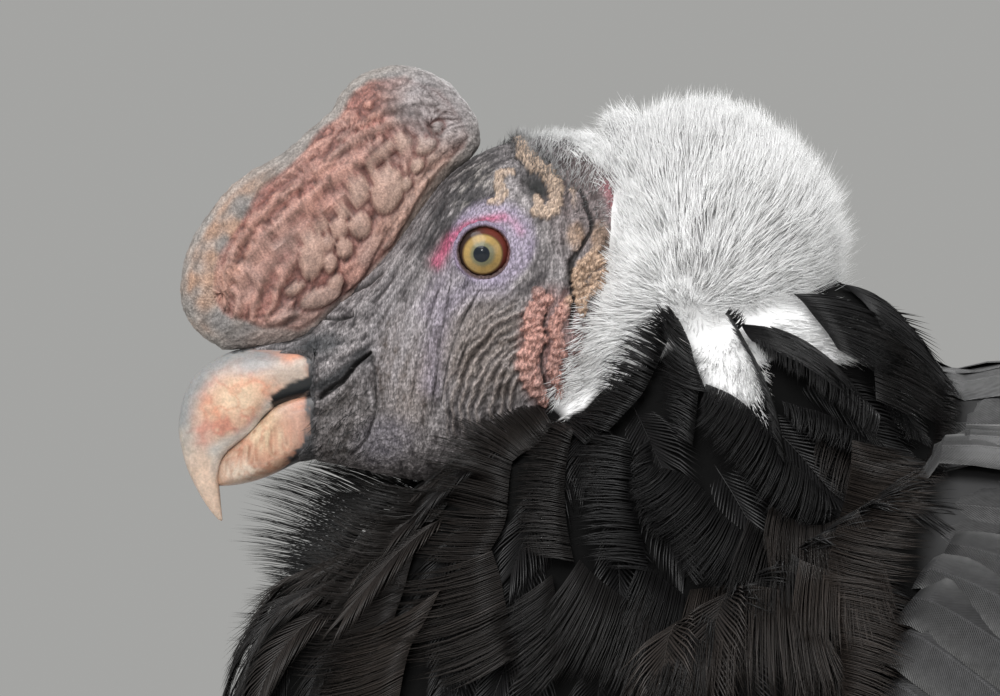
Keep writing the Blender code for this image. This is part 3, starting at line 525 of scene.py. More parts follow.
# Raised folds: x, y and half width in pixels along each, its height in mm, and how it is beaded.
FOLDS = [
    ([(520, 141, 6), (524, 153, 7.5), (532, 162, 7.8), (543.5, 169, 7.4), (551, 176.5, 7.4),
      (555.5, 187, 8.0), (556.5, 198, 8.4), (553, 207, 8.2), (545.5, 212, 7.4), (536.5, 212, 5.5)],
     1.7, 0.16, 5),
    ([(513, 171.5, 3.2), (505, 172, 4.4), (498, 178, 5.2), (498.5, 187, 5.2), (503.5, 194, 4.8),
      (500, 200, 4.6), (490, 202, 3.4)], 1.1, 0.16, 5),
    ([(538, 198, 5), (538, 206, 6)], 0.7, 0.0, 9),
    ([(578, 288, 6), (579, 275, 8.5), (588, 264, 9), (603, 260, 8.5), (616, 262, 7)], 1.7, 0.5, 8),
    ([(614, 268, 6), (605, 274, 8), (596, 284, 9), (590, 292, 7)], 1.5, 0.5, 8),
    ([(577, 278, 6), (580, 290, 9), (582, 303, 8), (584, 314, 5)], 1.6, 0.5, 8),
    ([(538, 292, 6), (543, 300, 9), (536, 312, 10), (533, 324, 11.5), (537, 338, 11),
      (530, 352, 10.5), (527, 366, 11.5), (532, 380, 11), (539, 392, 9), (544, 402, 6)],
     2.1, 0.36, 9),
    ([(568, 300, 5), (563, 310, 7.5), (554, 324, 6.5), (558, 340, 7.5), (558, 354, 7.5),
      (553, 368, 7), (557, 382, 6.5), (560, 396, 4)], 1.7, 0.36, 8),
    ([(575, 225, 4), (579, 236, 6), (575, 246, 5)], 0.9, 0.15, 8),
    ([(597, 222, 4), (601, 236, 6), (596, 248, 5), (588, 258, 4)], 1.0, 0.15, 8),
    ([(572, 190, 3.5), (578, 206, 4.5), (581, 222, 4)], 0.8, 0.1, 9),
    ([(590, 185, 4), (598, 200, 5), (603, 215, 4)], 0.8, 0.1, 9),
    ([(505, 340, 4), (506, 348, 4)], 0.5, 0.0, 9), ([(505, 360, 4), (506, 366, 3.5)], 0.5, 0.0, 9),
]
# Creases: x, y and half width in pixels along each, and depth in mm.
CREASES = [
    ([(581, 190, 1.5), (587, 206, 2), (592, 221, 2), (591, 232, 2), (584, 242, 2.2),
      (577, 252, 2.6), (571.5, 264, 3.4), (571, 276, 3), (573, 292, 2.6), (573, 310, 2.4),
      (571, 328, 1.5)], 1.5),
    ([(568.5, 190, 1), (567, 214, 1.4), (566, 228, 1.4), (563, 244, 1)], 0.5),
    ([(607, 236, 1), (602, 250, 1.8), (592, 259, 1.6)], 0.8),
    ([(612, 190, 1), (615, 210, 1.5), (618, 232, 1)], 0.4),
    ([(526, 180, 6), (536, 184, 9), (543, 193, 7)], 0.9),
    ([(510, 186, 2), (522, 202, 2.4), (531, 214, 2)], 0.5),
    ([(319, 397.5, 2.6), (330, 390, 2.6), (341, 382, 2.4), (356, 364, 2.0), (370, 353, 1.4)], 2.2),
    ([(369, 354, 1.4), (374, 372, 1.6), (375, 392, 1.6), (374, 416, 1.6), (366, 440, 1.6),
      (352, 456, 1.2)], 0.8),
    ([(262, 343, 2), (289, 339, 3), (309, 330, 3), (322, 316, 3), (338, 300, 3), (352, 291, 2.6),
      (369, 283, 2.4), (381, 271, 2)], 1.0),
    ([(322, 317, 1.4), (336, 318.5, 2.2), (352, 315, 1.2)], 1.5),
    ([(392, 318, 1), (398, 350, 1.4), (396, 385, 1.2)], 0.5),
    ([(451, 272, 1), (447, 305, 1.4), (439, 345, 1.7), (434, 385, 1.5), (430, 416, 1)], 0.75),
    ([(438, 290, 1), (426, 325, 1.4), (418, 360, 1.4), (412, 398, 1)], 0.6),
    ([(480, 291, 1), (465, 314, 1.6), (453, 341, 1.7), (446, 372, 1.5), (441, 402, 1)], 0.75),
    ([(496, 306, 1), (477, 322, 1.5), (463, 342, 1.5), (455, 366, 1.2)], 0.6),
    ([(430, 262, 1), (416, 290, 1.3), (406, 322, 1.3), (404, 350, 1)], 0.5),
    ([(519, 300, 1), (500, 310, 1.6), (480, 325, 1.8), (466, 345, 1.6), (458, 368, 1)], 0.6),
    ([(516, 322, 1), (498, 330, 1.6), (482, 342, 1.6), (472, 360, 1.4)], 0.5),
    ([(516, 342, 1), (500, 348, 1.4), (488, 358, 1.4), (480, 372, 1)], 0.5),
    ([(516, 360, 1), (504, 364, 1.2), (494, 374, 1)], 0.4),
    ([(546, 292, 1.5), (546, 312, 2), (544, 326, 2), (547, 342, 2), (542, 356, 2), (541, 368, 2),
      (545, 384, 2), (552, 398, 1.5)], 1.0),
    ([(524, 300, 1), (522, 320, 1.6), (523, 345, 1.6), (518, 365, 1.6), (521, 385, 1.2)], 0.6),
    ([(452, 232, 1), (440, 250, 1.3), (432, 275, 1)], 0.3),
    ([(508, 284, 1), (495, 292, 1.4), (470, 292, 1.4), (452, 284, 1)], 0.35),
]
# The lids' middle and opening, the iris, the pupil and the lids' red corner, in pixels.
EYE_PIXEL = (483.6, 252.4)
LID_OPENING = 24.6
IRIS_AT = (482.7, 254.0)
PUPIL_AT = (481.5, 254.0)
RED_CORNER = (502, 240)
# The front edge of the white down on the side of the head, in pixels.
DOWN_EDGE = [
    (548, 128), (560, 136), (581, 156), (606, 172), (619, 193), (624, 221), (622, 242),
    (620, 263), (612, 288), (598, 300), (592, 320), (584, 345), (574, 370), (562, 392), (550, 412),
]


# The share of the head's rings that the face gets, and of its length that it takes.
FACE_SHARE = 0.88
FACE_LENGTH = 0.76
HEAD_RINGS = 240
HEAD_SIDES = 440
HEAD_SQUARE = 0.85
# How far the skin reaches forward over the bill, in mm, by its height over the eye.
LIP = [(-70.0, 9.0), (-63.0, 6.5), (-57.0, 3.0), (-51.0, 0.9), (-44.0, 0.6), (-38.0, 0.6), (-32.0, 1.0),
       (-29.7, 3.5), (-28.4, 13.0), (-20.0, 18.0)]
LIP_ROWS = 14


# How many of the head's own rings are fitted over the horn, and how thick the skin lies on it, in mm.
FITTED_RINGS = 26
LIP_THICK = 0.45


def horn_push(row, bill_tree):
    """How far each point of a row has to move out to lie over the horn, and which way is out."""
    middle = row.copy()
    middle[:, 1] = 0.0
    middle[:, 2] = row[:, 2].mean()
    out = unit(row - middle)
    reach = np.linalg.norm(row - middle, axis=1)
    push = np.zeros(len(row))
    for i, (centre, ray) in enumerate(zip(middle, out)):
        hit, _, _, _ = bill_tree.ray_cast(Vector(centre + ray * 0.08), Vector(-ray), 0.08)
        if hit is not None:
            push[i] = (hit - Vector(centre)).length + LIP_THICK * MM - reach[i]
    return np.maximum(push, 0), out


def lip_rows(grid, bill_tree):
    """The head's grid fitted over the horn, with rows that carry its front edge on, ragged."""
    grid = grid.copy()
    last = np.zeros(grid.shape[1])
    for k in range(FITTED_RINGS):
        push, out = horn_push(grid[k], bill_tree)
        push = np.maximum(push, last * 0.86)
        grid[k] += out * push[:, None]
        last = push
    first = grid[0]
    up = (first[:, 2] - EYE_Z) / MM
    reach = looked_up(LIP, up)
    same = on_left(first)
    reach = reach * (1 + 0.35 * noise(same, 0.0045, 130) + 0.25 * noise(same, 0.0016, 131))
    reach = np.maximum(reach + 0.9 * noise(same, 0.0030, 132) + 0.5 * noise(same, 0.0011, 133), 0.3)
    crest = 3.4 * smooth(-33.0, -29.5, up)
    rows = []
    for k in range(LIP_ROWS, 0, -1):
        share = k / LIP_ROWS
        row = first.copy()
        row[:, 0] -= reach * share * MM
        for i, point in enumerate(row):
            near, normal, _, _ = bill_tree.find_nearest(Vector(point))
            lift = LIP_THICK * (1 - 0.7 * share) + crest[i] * (1 - share) if k < LIP_ROWS else -0.5
            on_bill = np.array(near + normal * lift * MM)
            blend = float(smooth(0.0, 0.25, share))
            row[i] = point * (1 - blend) + on_bill * blend
        rows.append(row)
    return np.concatenate([np.array(rows), grid])


def head_grid(rings, sides):
    """Points of the bare head's shape, evenly spaced round each ring and closer on the sides."""
    turn = np.linspace(0, 2 * np.pi, 2000)
    up, out = squared(np.cos(turn), HEAD_SQUARE), squared(np.sin(turn), HEAD_SQUARE)
    step = np.hypot(np.diff(up) * 49, np.diff(out) * 31) * (0.55 + np.abs(np.sin(turn[1:])) ** 2)
    reach = np.concatenate([[0], np.cumsum(step)])
    turn = np.interp(np.linspace(0, reach[-1], sides, endpoint=False), reach, turn)
    up, out = squared(np.cos(turn), HEAD_SQUARE), squared(np.sin(turn), HEAD_SQUARE)
    middles = [((r[0] + r[2]) / 2, (r[1] + r[3]) / 2) for r in HEAD]
    lengths = np.concatenate([[0], np.cumsum([math.dist(a, b) for a, b in zip(middles, middles[1:])])])
    share = np.linspace(0, 1, rings)
    reach = np.interp(share, (0, FACE_SHARE, 1), (0, FACE_LENGTH, 1)) * lengths[-1]
    at = np.interp(reach, lengths, np.arange(len(HEAD)))
    row = spline(HEAD, at)
    top = np.stack([row[:, 0], row[:, 1]], 1)
    low = np.stack([row[:, 2], row[:, 3]], 1)
    middle, half = (top + low) / 2, (top - low) / 2
    f = middle[:, 0, None] + half[:, 0, None] * up
    v = middle[:, 1, None] + half[:, 1, None] * up
    return head_place(f, v, row[:, 4, None] * out)


def grid_normals(grid, inside):
    """Unit normals of a grid that closes round its second axis, away from a point inside."""
    du = np.gradient(grid, axis=0)
    dv = (np.roll(grid, -1, axis=1) - np.roll(grid, 1, axis=1)) / 2
    normal = unit(np.cross(du, dv))
    outward = np.sum(normal * (grid - inside), axis=-1)
    flip = np.sign(np.sum(outward))
    return normal * flip


def fold_height(x, y, points, folds, lumpy=1.0):
    """The tallest fold at each pixel, in mm, and how much of a fold each pixel is."""
    tall = np.zeros(len(x))
    share = np.zeros(len(x))
    for i, (line, height, beads, pitch) in enumerate(folds):
        xy = np.asarray(line, float)
        near = (
            (x > xy[:, 0].min() - 16) & (x < xy[:, 0].max() + 16)
            & (y > xy[:, 1].min() - 16) & (y < xy[:, 1].max() + 16)
        )
        k = np.flatnonzero(near)
        if not len(k):
            continue
        wob = points[k]
        wx = x[k] + 2.2 * noise(wob, 0.0024, 20 + i)
        wy = y[k] + 2.2 * noise(wob, 0.0024, 50 + i)
        gap, along, half = line_distance(wx, wy, line)
        length = np.linalg.norm(np.diff(xy[:, :2], axis=0), axis=1).sum()
        lump, between_lumps, _ = cells(wob, pitch * PIXEL * 0.95, 80 + i)
        wave = np.cos(2 * np.pi * along * length / pitch + 3.0 * noise(wob, 0.004, 80 + i))
        lumps = 1.3 * smooth(0.0, 0.45, between_lumps - lump) - 0.7
        bead = 1 + lumpy * beads * (0.5 * wave + lumps)
        half = half * (1 + 0.16 * lumpy * wave + 0.10 * noise(wob, 0.0015, 110 + i))
        t = gap / half
        h = height * bead * np.sqrt(np.clip(1 - t * t, 0, 1)) ** 0.8
        tall[k] = np.maximum(tall[k], h)
        share[k] = np.maximum(share[k], 1 - smooth(0.75, 1.15, t))
    return tall, share


def make_skin():
    """The bare head's points with folds, creases and wrinkles, and their colours."""
    horn = joined([closed_grid(ring_mesh(BILL_UPPER, 60, 60, 0.9, 0.42)),
                   closed_grid(ring_mesh(BILL_LOWER, 50, 60, 0.42, 0.9))])
    grid = lip_rows(head_grid(HEAD_RINGS, HEAD_SIDES), tree_from(*horn))
    rings, sides = grid.shape[:2]
    normals = grid_normals(grid, head_place(*HEAD_CENTRE))
    points = grid.reshape(-1, 3)
    same = on_left(points)
    x, y = seen(points)
    dx, dy = flow(x, y, CREASE_LINES)
    along = np.stack([dx, np.zeros(len(dx)), -dy], 1)
    wrinkle = smear(same, along, 0.0015, 0.011, 1)
    fine = smear(same, along, 0.0009, 0.0030, 2, 5)
    granule, second, _ = cells(same, 0.00125, 3)
    crust = 1 - smooth(0.0, 0.35, second - granule)
    tall, fold = fold_height(x, y, same, FOLDS)
    bare = 1 - fold
    arc = cheek_arcs(x, y, same) * bare
    eye = np.hypot(x - EYE_PIXEL[0], y - EYE_PIXEL[1])
    calm = smooth(26, 60, eye)
    rough = 0.35 + 0.65 * spot(x, y, (495, 340), (75, 60)) + 0.3 * spot(x, y, (585, 215), (40, 45))
    height = bare * rough * calm * (0.52 * np.tanh(1.9 * wrinkle)) + 0.13 * fine * (0.4 + 0.6 * calm)
    height += 0.62 * arc
    height -= 0.16 * crust * (0.3 + 0.7 * calm)
    height += tall - 0.28 * crust * fold
    crease = np.zeros(len(x))
    for line, depth in CREASES:
        wx, wy = x + 1.2 * noise(same, 0.003, 11), y + 1.2 * noise(same, 0.003, 12)
        gap, _, half = line_distance(wx, wy, line)
        crease = np.maximum(crease, depth * np.exp(-((gap / half) ** 2)) * (1 - 0.8 * (fold > 0.9)))
    height -= crease
    # The eye's pit, with a rim that the lids lie on.
    rim = np.exp(-(((eye - LID_OPENING - 6) / 7) ** 2))
    height += 0.55 * rim
    pit_edge = LID_OPENING + 2.2
    height = np.where(eye < pit_edge, -9.0 * smooth(pit_edge, LID_OPENING, eye), height)
    # The front row of the lip stays on the horn.
    lip = np.repeat(np.clip(np.arange(rings) / LIP_ROWS, 0, 1), sides)
    moved = points + normals.reshape(-1, 3) * (height * smooth(0.15, 1.0, lip))[:, None] * MM
    colours = skin_colours(x, y, same, wrinkle, fine, crust, fold, crease, eye, arc)
    return moved, grid_faces(rings, sides, wrap=True), colours


# The middle of the cheek's arcs and the distance between them, in pixels.
ARC_MIDDLE = (548, 404)
ARC_PITCH = 9.5


def cheek_arcs(x, y, same):
    """Ridges across the cheek in arcs about the foot of the wattles, from -1 between to 1 on top."""
    wx, wy = x + 5 * noise(same, 0.006, 140), y + 5 * noise(same, 0.006, 141)
    wx, wy = wx + 1.8 * noise(same, 0.0022, 142), wy + 1.8 * noise(same, 0.0022, 143)
    dx, dy = wx - ARC_MIDDLE[0], ARC_MIDDLE[1] - wy
    r = np.hypot(dx, dy)
    turn = np.degrees(np.arctan2(dy, dx))
    start, end = smooth(26, 36, r), 1 - smooth(92, 116, r)
    zone = np.where(turn < 0, smooth(-150, -172, turn) * start * end, start * end * smooth(95, 118, turn))
    return zone * np.cos(2 * np.pi * r / ARC_PITCH + 0.8 * noise(same, 0.005, 144))


# The pale throat, the dark gape, and the flesh behind the eye.
SKIN_DABS = [
    ((0.30, 0.28, 0.33), 0.45, (385, 440), (30, 22), -20),
    ((0.04, 0.045, 0.05), 0.8, (318, 345), (26, 12), -12, 0.6),
    ((0.21, 0.15, 0.145), 0.45, (590, 205), (38, 55)),
]
# Two tan dabs by the ear.
EAR_DABS = [
    ((0.42, 0.27, 0.17), 0.6, (576, 236), (9, 12)),
    ((0.42, 0.27, 0.17), 0.6, (600, 238), (9, 15)),
]


def skin_colours(x, y, same, wrinkle, fine, crust, fold, crease, eye, arc):
    """Grey skin with creases darkened as painted shade, wrinkle tops paler as partly painted highlight,
    and its lilac, crimson, tan and salmon marks.
    """
    # Paler on the wrinkles' tops and darker in their furrows: partly the skin's dry pale grain, partly
    # painted highlight and shade.
    light = np.clip(0.53 + 0.54 * wrinkle + 0.30 * fine, 0, 1)
    colours = mix((0.052, 0.045, 0.048), (0.42, 0.385, 0.39), light)
    broad = noise(same, 0.012, 31)
    # Dark forehead and crown, with pale grains.
    dark = np.clip(
        spot(x, y, (462, 190), (22, 75), 32, 0.45) + spot(x, y, (560, 165), (45, 36), 25, 0.4), 0, 1
    )
    colours = mix(colours, (0.016, 0.015, 0.017), 0.80 * dark * (1 - 0.75 * smooth(0.1, 0.9, fine)))
    pale = spot(x, y, (478, 188), (22, 26), 30) * 0.5
    colours = mix(colours, (0.36, 0.33, 0.30), pale * smooth(-0.2, 0.7, fine))
    # Lilac round the eye and down in front of the cheek.
    leaning = eye + 0.22 * (y - 252) - 0.2 * (x - 483)
    crescent = smooth(22, 26, eye) * (1 - smooth(34, 45, leaning))
    colours = mix(colours, (0.40, 0.34, 0.46), 0.74 * crescent)
    near = streak(x, y, [(500, 285), (465, 290), (445, 310), (434, 345), (430, 385)], 12)
    colours = mix(colours, (0.40, 0.35, 0.47), 0.60 * near * (0.45 + 0.55 * light))
    near = streak(x, y, [(452, 262), (440, 285), (425, 310)], 12)
    colours = mix(colours, (0.33, 0.28, 0.36), 0.45 * near)
    gap, at = line_distance(x, y, [(504, 217), (486, 220), (466, 227), (450, 241), (437, 262)])
    colours = mix(colours, (0.47, 0.065, 0.155), 0.80 * np.exp(-((gap / (3.6 + 3.6 * at)) ** 2)))
    near = streak(x, y, [(500, 216), (514, 222), (521, 232)], 5.0)
    colours = mix(colours, (0.50, 0.26, 0.38), 0.6 * near)
    # Brown and tan cheeks, dark bristly lower jaw, pale throat.
    brown = spot(x, y, (405, 375), (26, 60))
    colours = mix(colours, (0.26, 0.19, 0.14), 0.38 * brown * (0.6 + 0.4 * broad))
    colours = mix(colours, (0.27, 0.215, 0.185), 0.5 * spot(x, y, (490, 350), (50, 48)))
    # Paler on the cheek's raised arcs, partly painted highlight, and near black in the furrows between
    # them as painted shade.
    colours = mix(colours, (0.40, 0.34, 0.31), 0.55 * np.clip(arc, 0, 1))
    colours = mix(colours, (0.018, 0.014, 0.013), 0.80 * np.clip(-arc - 0.25, 0, 1))
    colours = mix(colours, (0.36, 0.34, 0.37), 0.45 * spot(x, y, (392, 345), (26, 60), 10) * light)
    jaw = spot(x, y, (345, 425), (34, 46), 20)
    colours = mix(colours, (0.065, 0.055, 0.050), 0.75 * jaw * (1 - 0.5 * light))
    colours = dabbed(colours, x, y, SKIN_DABS)
    near = streak(x, y, [(606, 186), (613, 200), (618, 220)], 6)
    colours = mix(colours, (0.42, 0.12, 0.15), 0.6 * near)
    colours = dabbed(colours, x, y, EAR_DABS)
    # Folds: peach hooks, tan by the ear, salmon wattles.
    hooks = fold * (spot(x, y, (527, 182), (48, 52), 0, 0.2))
    colours = mix(colours, (0.60, 0.445, 0.335), 0.9 * hooks * np.clip(0.85 + 0.3 * fine, 0, 1))
    ear = fold * spot(x, y, (592, 283), (34, 36), 0, 0.2)
    colours = mix(colours, (0.60, 0.41, 0.285), 0.88 * ear)
    wattle = smooth(0, 0.5, fold) * spot(x, y, (546, 348), (32, 62), 0, 0.15)
    colours = mix(colours, (0.66, 0.345, 0.285), 0.9 * wattle * (0.85 + 0.15 * broad))
    near = (1 - fold) * spot(x, y, (552, 350), (34, 62), 0, 0.2)
    colours = mix(colours, (0.32, 0.13, 0.11), 0.5 * near)
    # Black flesh along the mouth, and painted shade in the cracks between the grains everywhere.
    near = streak(x, y, [(319, 386), (335, 378), (350, 366), (364, 355)], 9)
    colours = mix(colours, (0.012, 0.014, 0.017), 0.92 * near)
    colours = colours * (1 - 0.45 * crust)[:, None]
    # The skin's dark edge over the horn, the black flesh at the back of the mouth, and painted shade in
    # the creases and in a hollow inside the hooked fold.
    up = (same[:, 2] - EYE_Z) / MM
    ahead = (EYE_X - same[:, 0]) / MM
    edge = smooth(49.0, 51.5, ahead) * (1 - 0.55 * smooth(-33, -30, up))
    colours = mix(colours, (0.030, 0.032, 0.035), 0.8 * edge)
    # Darker the deeper the crease: painted shade in most creases.
    colours = mix(colours, (0.008, 0.007, 0.007), 0.85 * smooth(0.15, 1.0, crease))
    # Painted shade in the hollow inside the hooked fold.
    hollow_shade = spot(x, y, (536, 188), (9, 9))
    colours = mix(colours, (0.010, 0.011, 0.011), 0.8 * hollow_shade * (1 - fold))
    # White under the down, black under the feathers.
    inside, _ = line_distance(x, y, DOWN_EDGE)
    white = behind_edge(x, y) * smooth(0, 12, inside)
    return mix(colours, WHITE, white)


def behind_edge(x, y):
    """1 where pixels lie behind the front edge of the down, else 0."""
    edge = np.asarray(DOWN_EDGE, float)
    front = np.interp(y, edge[:, 1], edge[:, 0])
    return (x > front).astype(float)


def ring_mesh(table, rings, sides, square, low_square=None):
    """A dense grid through a table of rings across the head. Exponents below 1 square a ring's
    upper and lower half."""
    at = np.linspace(0, len(table) - 1, rings)
    row = spline(table, at)
    turn = np.linspace(0, 2 * np.pi, sides, endpoint=False)
    up, out = np.cos(turn), np.sin(turn)
    power = np.where(up > 0, square, low_square or square)
    up, out = squared(up, square), squared(out, power)
    f = (row[:, 0] + row[:, 2])[:, None] / 2 + (row[:, 0] - row[:, 2])[:, None] / 2 * up
    v = (row[:, 1] + row[:, 3])[:, None] / 2 + (row[:, 1] - row[:, 3])[:, None] / 2 * up
    return head_place(f, v, row[:, 4, None] * out)


def tube_grid(stations, sides=24):
    """Level rings of a leg: x, side, height, half lengths along x and across."""
    row = np.asarray(stations, float)
    turn = np.linspace(0, 2 * np.pi, sides, endpoint=False)
    x = row[:, 0, None] + row[:, 3, None] * np.cos(turn)
    y = row[:, 1, None] + row[:, 4, None] * np.sin(turn)
    return np.stack([x, y, np.repeat(row[:, 2, None], sides, 1)], -1)


def egg_mesh(centre, radii, rings=40, sides=64, tilt=0.0):
    """An ellipsoid's points and triangles, given in the head's mm, tilted down at the back."""
    high = np.linspace(0.02, np.pi - 0.02, rings)[:, None]
    turn = np.linspace(0, 2 * np.pi, sides, endpoint=False)
    f = centre[0] + radii[0] * np.sin(high) * np.cos(turn)
    s = centre[2] + radii[1] * np.sin(high) * np.sin(turn)
    v = centre[1] + radii[2] * np.cos(high) * np.ones(sides)
    c, sin = math.cos(math.radians(tilt)), math.sin(math.radians(tilt))
    df, dv = f - centre[0], v - centre[1]
    f, v = centre[0] + df * c - dv * sin, centre[1] + df * sin + dv * c
    return head_place(f, v, s).reshape(-1, 3), grid_faces(rings, sides, wrap=True)


# The white ruff's form under its down: centre forward and up of the eye and to the side, and radii,
# all in mm. The first is the egg behind the head, and the others hang down beside the neck.
RUFF_EGGS = [
    ((-64.0, 0.5, 0.0), (38.5, 41.0, 38.5)),
    ((-47.0, 8.0, 0.0), (20.0, 24.0, 29.0)),
    ((-50.0, -13.0, 27.0), (15.0, 14.0, 20.0)),
    ((-50.0, -13.0, -27.0), (15.0, 14.0, 20.0)),
    ((-41.5, -29.0, 25.0), (12.0, 12.5, 18.0)),
    ((-41.5, -29.0, -25.0), (12.0, 12.5, 18.0)),
    ((-33.0, -43.0, 23.0), (9.0, 11.0, 14.0)),
    ((-33.0, -43.0, -23.0), (9.0, 11.0, 14.0)),
]
MANTLE_GREY = (0.062, 0.062, 0.063)
# The raised feathers of the mantle: centre, radii and tilt in degrees.
MANTLE_EGGS = [
    ((-160.0, -70.0, 0.0), (48.0, 48.0, 36.0), 0.0),
    ((-190.0, -82.0, 0.0), (70.0, 50.0, 28.0), 22.0),
]
# The folded wing's edges: metres along the body and degrees round it.
WING_TOP = [(0, 70), (0.02, 58), (0.06, 36), (0.11, 18), (0.17, 9), (0.25, 7), (0.4, 9)]
WING_BOTTOM = [
    (0, 90), (0.02, 102), (0.06, 108), (0.11, 109), (0.17, 108), (0.25, 104), (0.33, 97), (0.4, 80),
]
# How far the wing stands out of the body, in mm, by a place along it.
WING_LIFT = [
    (-0.40, 19.5), (0.0, 19.5), (0.20, 17.0), (0.34, 11.6), (0.52, 6.0), (0.70, 1.8), (1.0, 1.3),
]
# The size of the remeshed flesh's cells, in metres.
VOXEL = 0.0047


def joined(meshes):
    """One set of points and triangles from several."""
    verts, faces, start = [], [], 0
    for v, f in meshes:
        verts.append(v.reshape(-1, 3))
        faces.append(f + start)
        start += len(verts[-1])
    return np.concatenate(verts), np.concatenate(faces)


def closed_grid(grid):
    """A grid round its second axis, with its two ends closed by fans."""
    rows, cols = grid.shape[:2]
    faces = grid_faces(rows, cols, wrap=True)
    verts = np.concatenate([grid.reshape(-1, 3), grid[0].mean(0)[None], grid[-1].mean(0)[None]])
    k = np.arange(cols)
    n = rows * cols
    first = np.stack([np.full(cols, n), (k + 1) % cols, k], 1)
    last = np.stack([np.full(cols, n + 1), n - cols + k, n - cols + (k + 1) % cols], 1)
    return verts, np.concatenate([faces, first, last])


def body_core():
    """The flesh under the feathers as one remeshed form: neck, ruff, torso, wings, tail root and
    thighs. Returns its points and triangles."""
    along = TORSO_START + (TORSO_END - TORSO_START) * np.linspace(0.012, 1, 60) ** 1.2
    turn = np.linspace(0, 2 * np.pi, 60, endpoint=False)
    torso = body_point(along[:, None], turn[None], -0.004)
    parts = [closed_grid(torso)]
    parts.append(closed_grid(shrunk(ring_mesh(NECK, 50, 64, 0.95), 0.004)))
    parts += [egg_mesh(*egg) for egg in RUFF_EGGS]
    parts += [egg_mesh(centre, radii, tilt=tilt) for centre, radii, tilt in MANTLE_EGGS]
    for side in (-1, 1):
        wing_along = np.linspace(0.01, 0.40, 40)
        high, low = looked_up(WING_TOP, wing_along), looked_up(WING_BOTTOM, wing_along)
        share = np.linspace(0, 1, 20)
        angle = np.radians(high[:, None] + (low - high)[:, None] * share)
        lift = wing_lift(wing_along[:, None], angle) * np.sin(np.pi * (0.08 + 0.84 * share)) ** 0.4
        outer = body_point(wing_along[:, None], angle * side, lift - 0.003)
        inner = body_point(wing_along[:, None], angle[:, ::-1] * side, -0.012)
        parts.append(closed_grid(np.concatenate([outer, inner], 1)))
        thigh = np.asarray(THIGH, float)
        thigh[:, 1] *= side
        thigh[:, 3:] -= 0.004
        parts.append(closed_grid(tube_grid(spline(thigh, np.linspace(0, 5, 24)), 32)))
    verts, faces = joined(parts)
    core = new_object("core", verts, faces, bpy.data.materials.new("core"))
    remesh = core.modifiers.new("remesh", "REMESH")
    remesh.mode = "VOXEL"
    remesh.voxel_size = VOXEL
    relax = core.modifiers.new("relax", "SMOOTH")
    relax.factor = 0.5
    relax.iterations = 3
    graph = bpy.context.evaluated_depsgraph_get()
    mesh = bpy.data.meshes.new_from_object(core.evaluated_get(graph))
    mesh.calc_loop_triangles()
    points = np.empty(len(mesh.vertices) * 3, np.float32)
    mesh.vertices.foreach_get("co", points)
    tris = np.empty(len(mesh.loop_triangles) * 3, np.int32)
    mesh.loop_triangles.foreach_get("vertices", tris)
    bpy.data.objects.remove(core, do_unlink=True)
    return points.reshape(-1, 3).astype(float), tris.reshape(-1, 3)


def wing_lift(along, angle):
    """How far the folded wing stands out of the body, in metres."""
    return looked_up(WING_LIFT, along + 0.006 * (np.degrees(np.abs(angle)) - 30)) * MM


def shrunk(grid, depth):
    """A grid round its second axis moved inwards."""
    middle = grid.mean(axis=1, keepdims=True)
    out = grid - middle
    return middle + out * (1 - depth / np.maximum(np.linalg.norm(out, axis=-1, keepdims=True), depth))


def main_skin():
    """One skin for the head and for the flesh under the feathers."""
    head, head_faces, head_tone = make_skin()
    core, core_faces = body_core()
    x, y = seen(core)
    ruff = ruff_depth(core)
    below = inside_outline(x, y, WHITE_BELOW) * (core[:, 2] > 0.55)
    white = np.maximum(1 - smooth(1.5, 4.0, ruff), below)
    grey = 0.7 * (smooth(-10, 15, past_cape(core)) * mantle_share(core))
    # Near black under the feathers, darker than the feathers themselves, as painted shade in the gaps
    # between them; grey under the mantle.
    dark = mix((0.004, 0.004, 0.004), MANTLE_GREY, grey)
    core_tone = mix(dark, WHITE, white)
    verts, faces = joined([(head, head_faces), (core, core_faces)])
    skin = new_object(
        "skin", verts, faces, skin_material("skin", 0.6, 1900, 0.64, 1.36, 0.00024, 0.30, 0.78),
        np.concatenate([head_tone, core_tone]),
    )
    under, nodes, links, shader = new_material("under_feathers", 0.9, 0.05)
    links.new(tone_node(nodes), shader.inputs["Base Color"])
    skin.data.materials.append(under)
    index = np.concatenate([np.zeros(len(head_faces), np.int32), np.ones(len(core_faces), np.int32)])
    skin.data.polygons.foreach_set("material_index", index)
    place(skin, "skin", "head", "neck", "torso", "thigh_left", "thigh_right")
    return head, head_faces, core, core_faces


def mantle_share(points):
    """1 above the mantle's lower edge, which falls towards the tail, and 0 below it."""
    return smooth(0.40, 0.46, points[..., 2] + 0.404 * (points[..., 0] + 0.17))


def ruff_depth(points):
    """How far points lie outside the ruff's form, in mm."""
    least = np.full(len(points), 1e9)
    for centre, radii in RUFF_EGGS:
        middle = head_place(centre[0], centre[1], centre[2])
        q = (points - middle) / (np.asarray(radii) * MM)
        r = np.linalg.norm(q, axis=1)
        least = np.minimum(least, (r - 1) * min(radii))
    return least


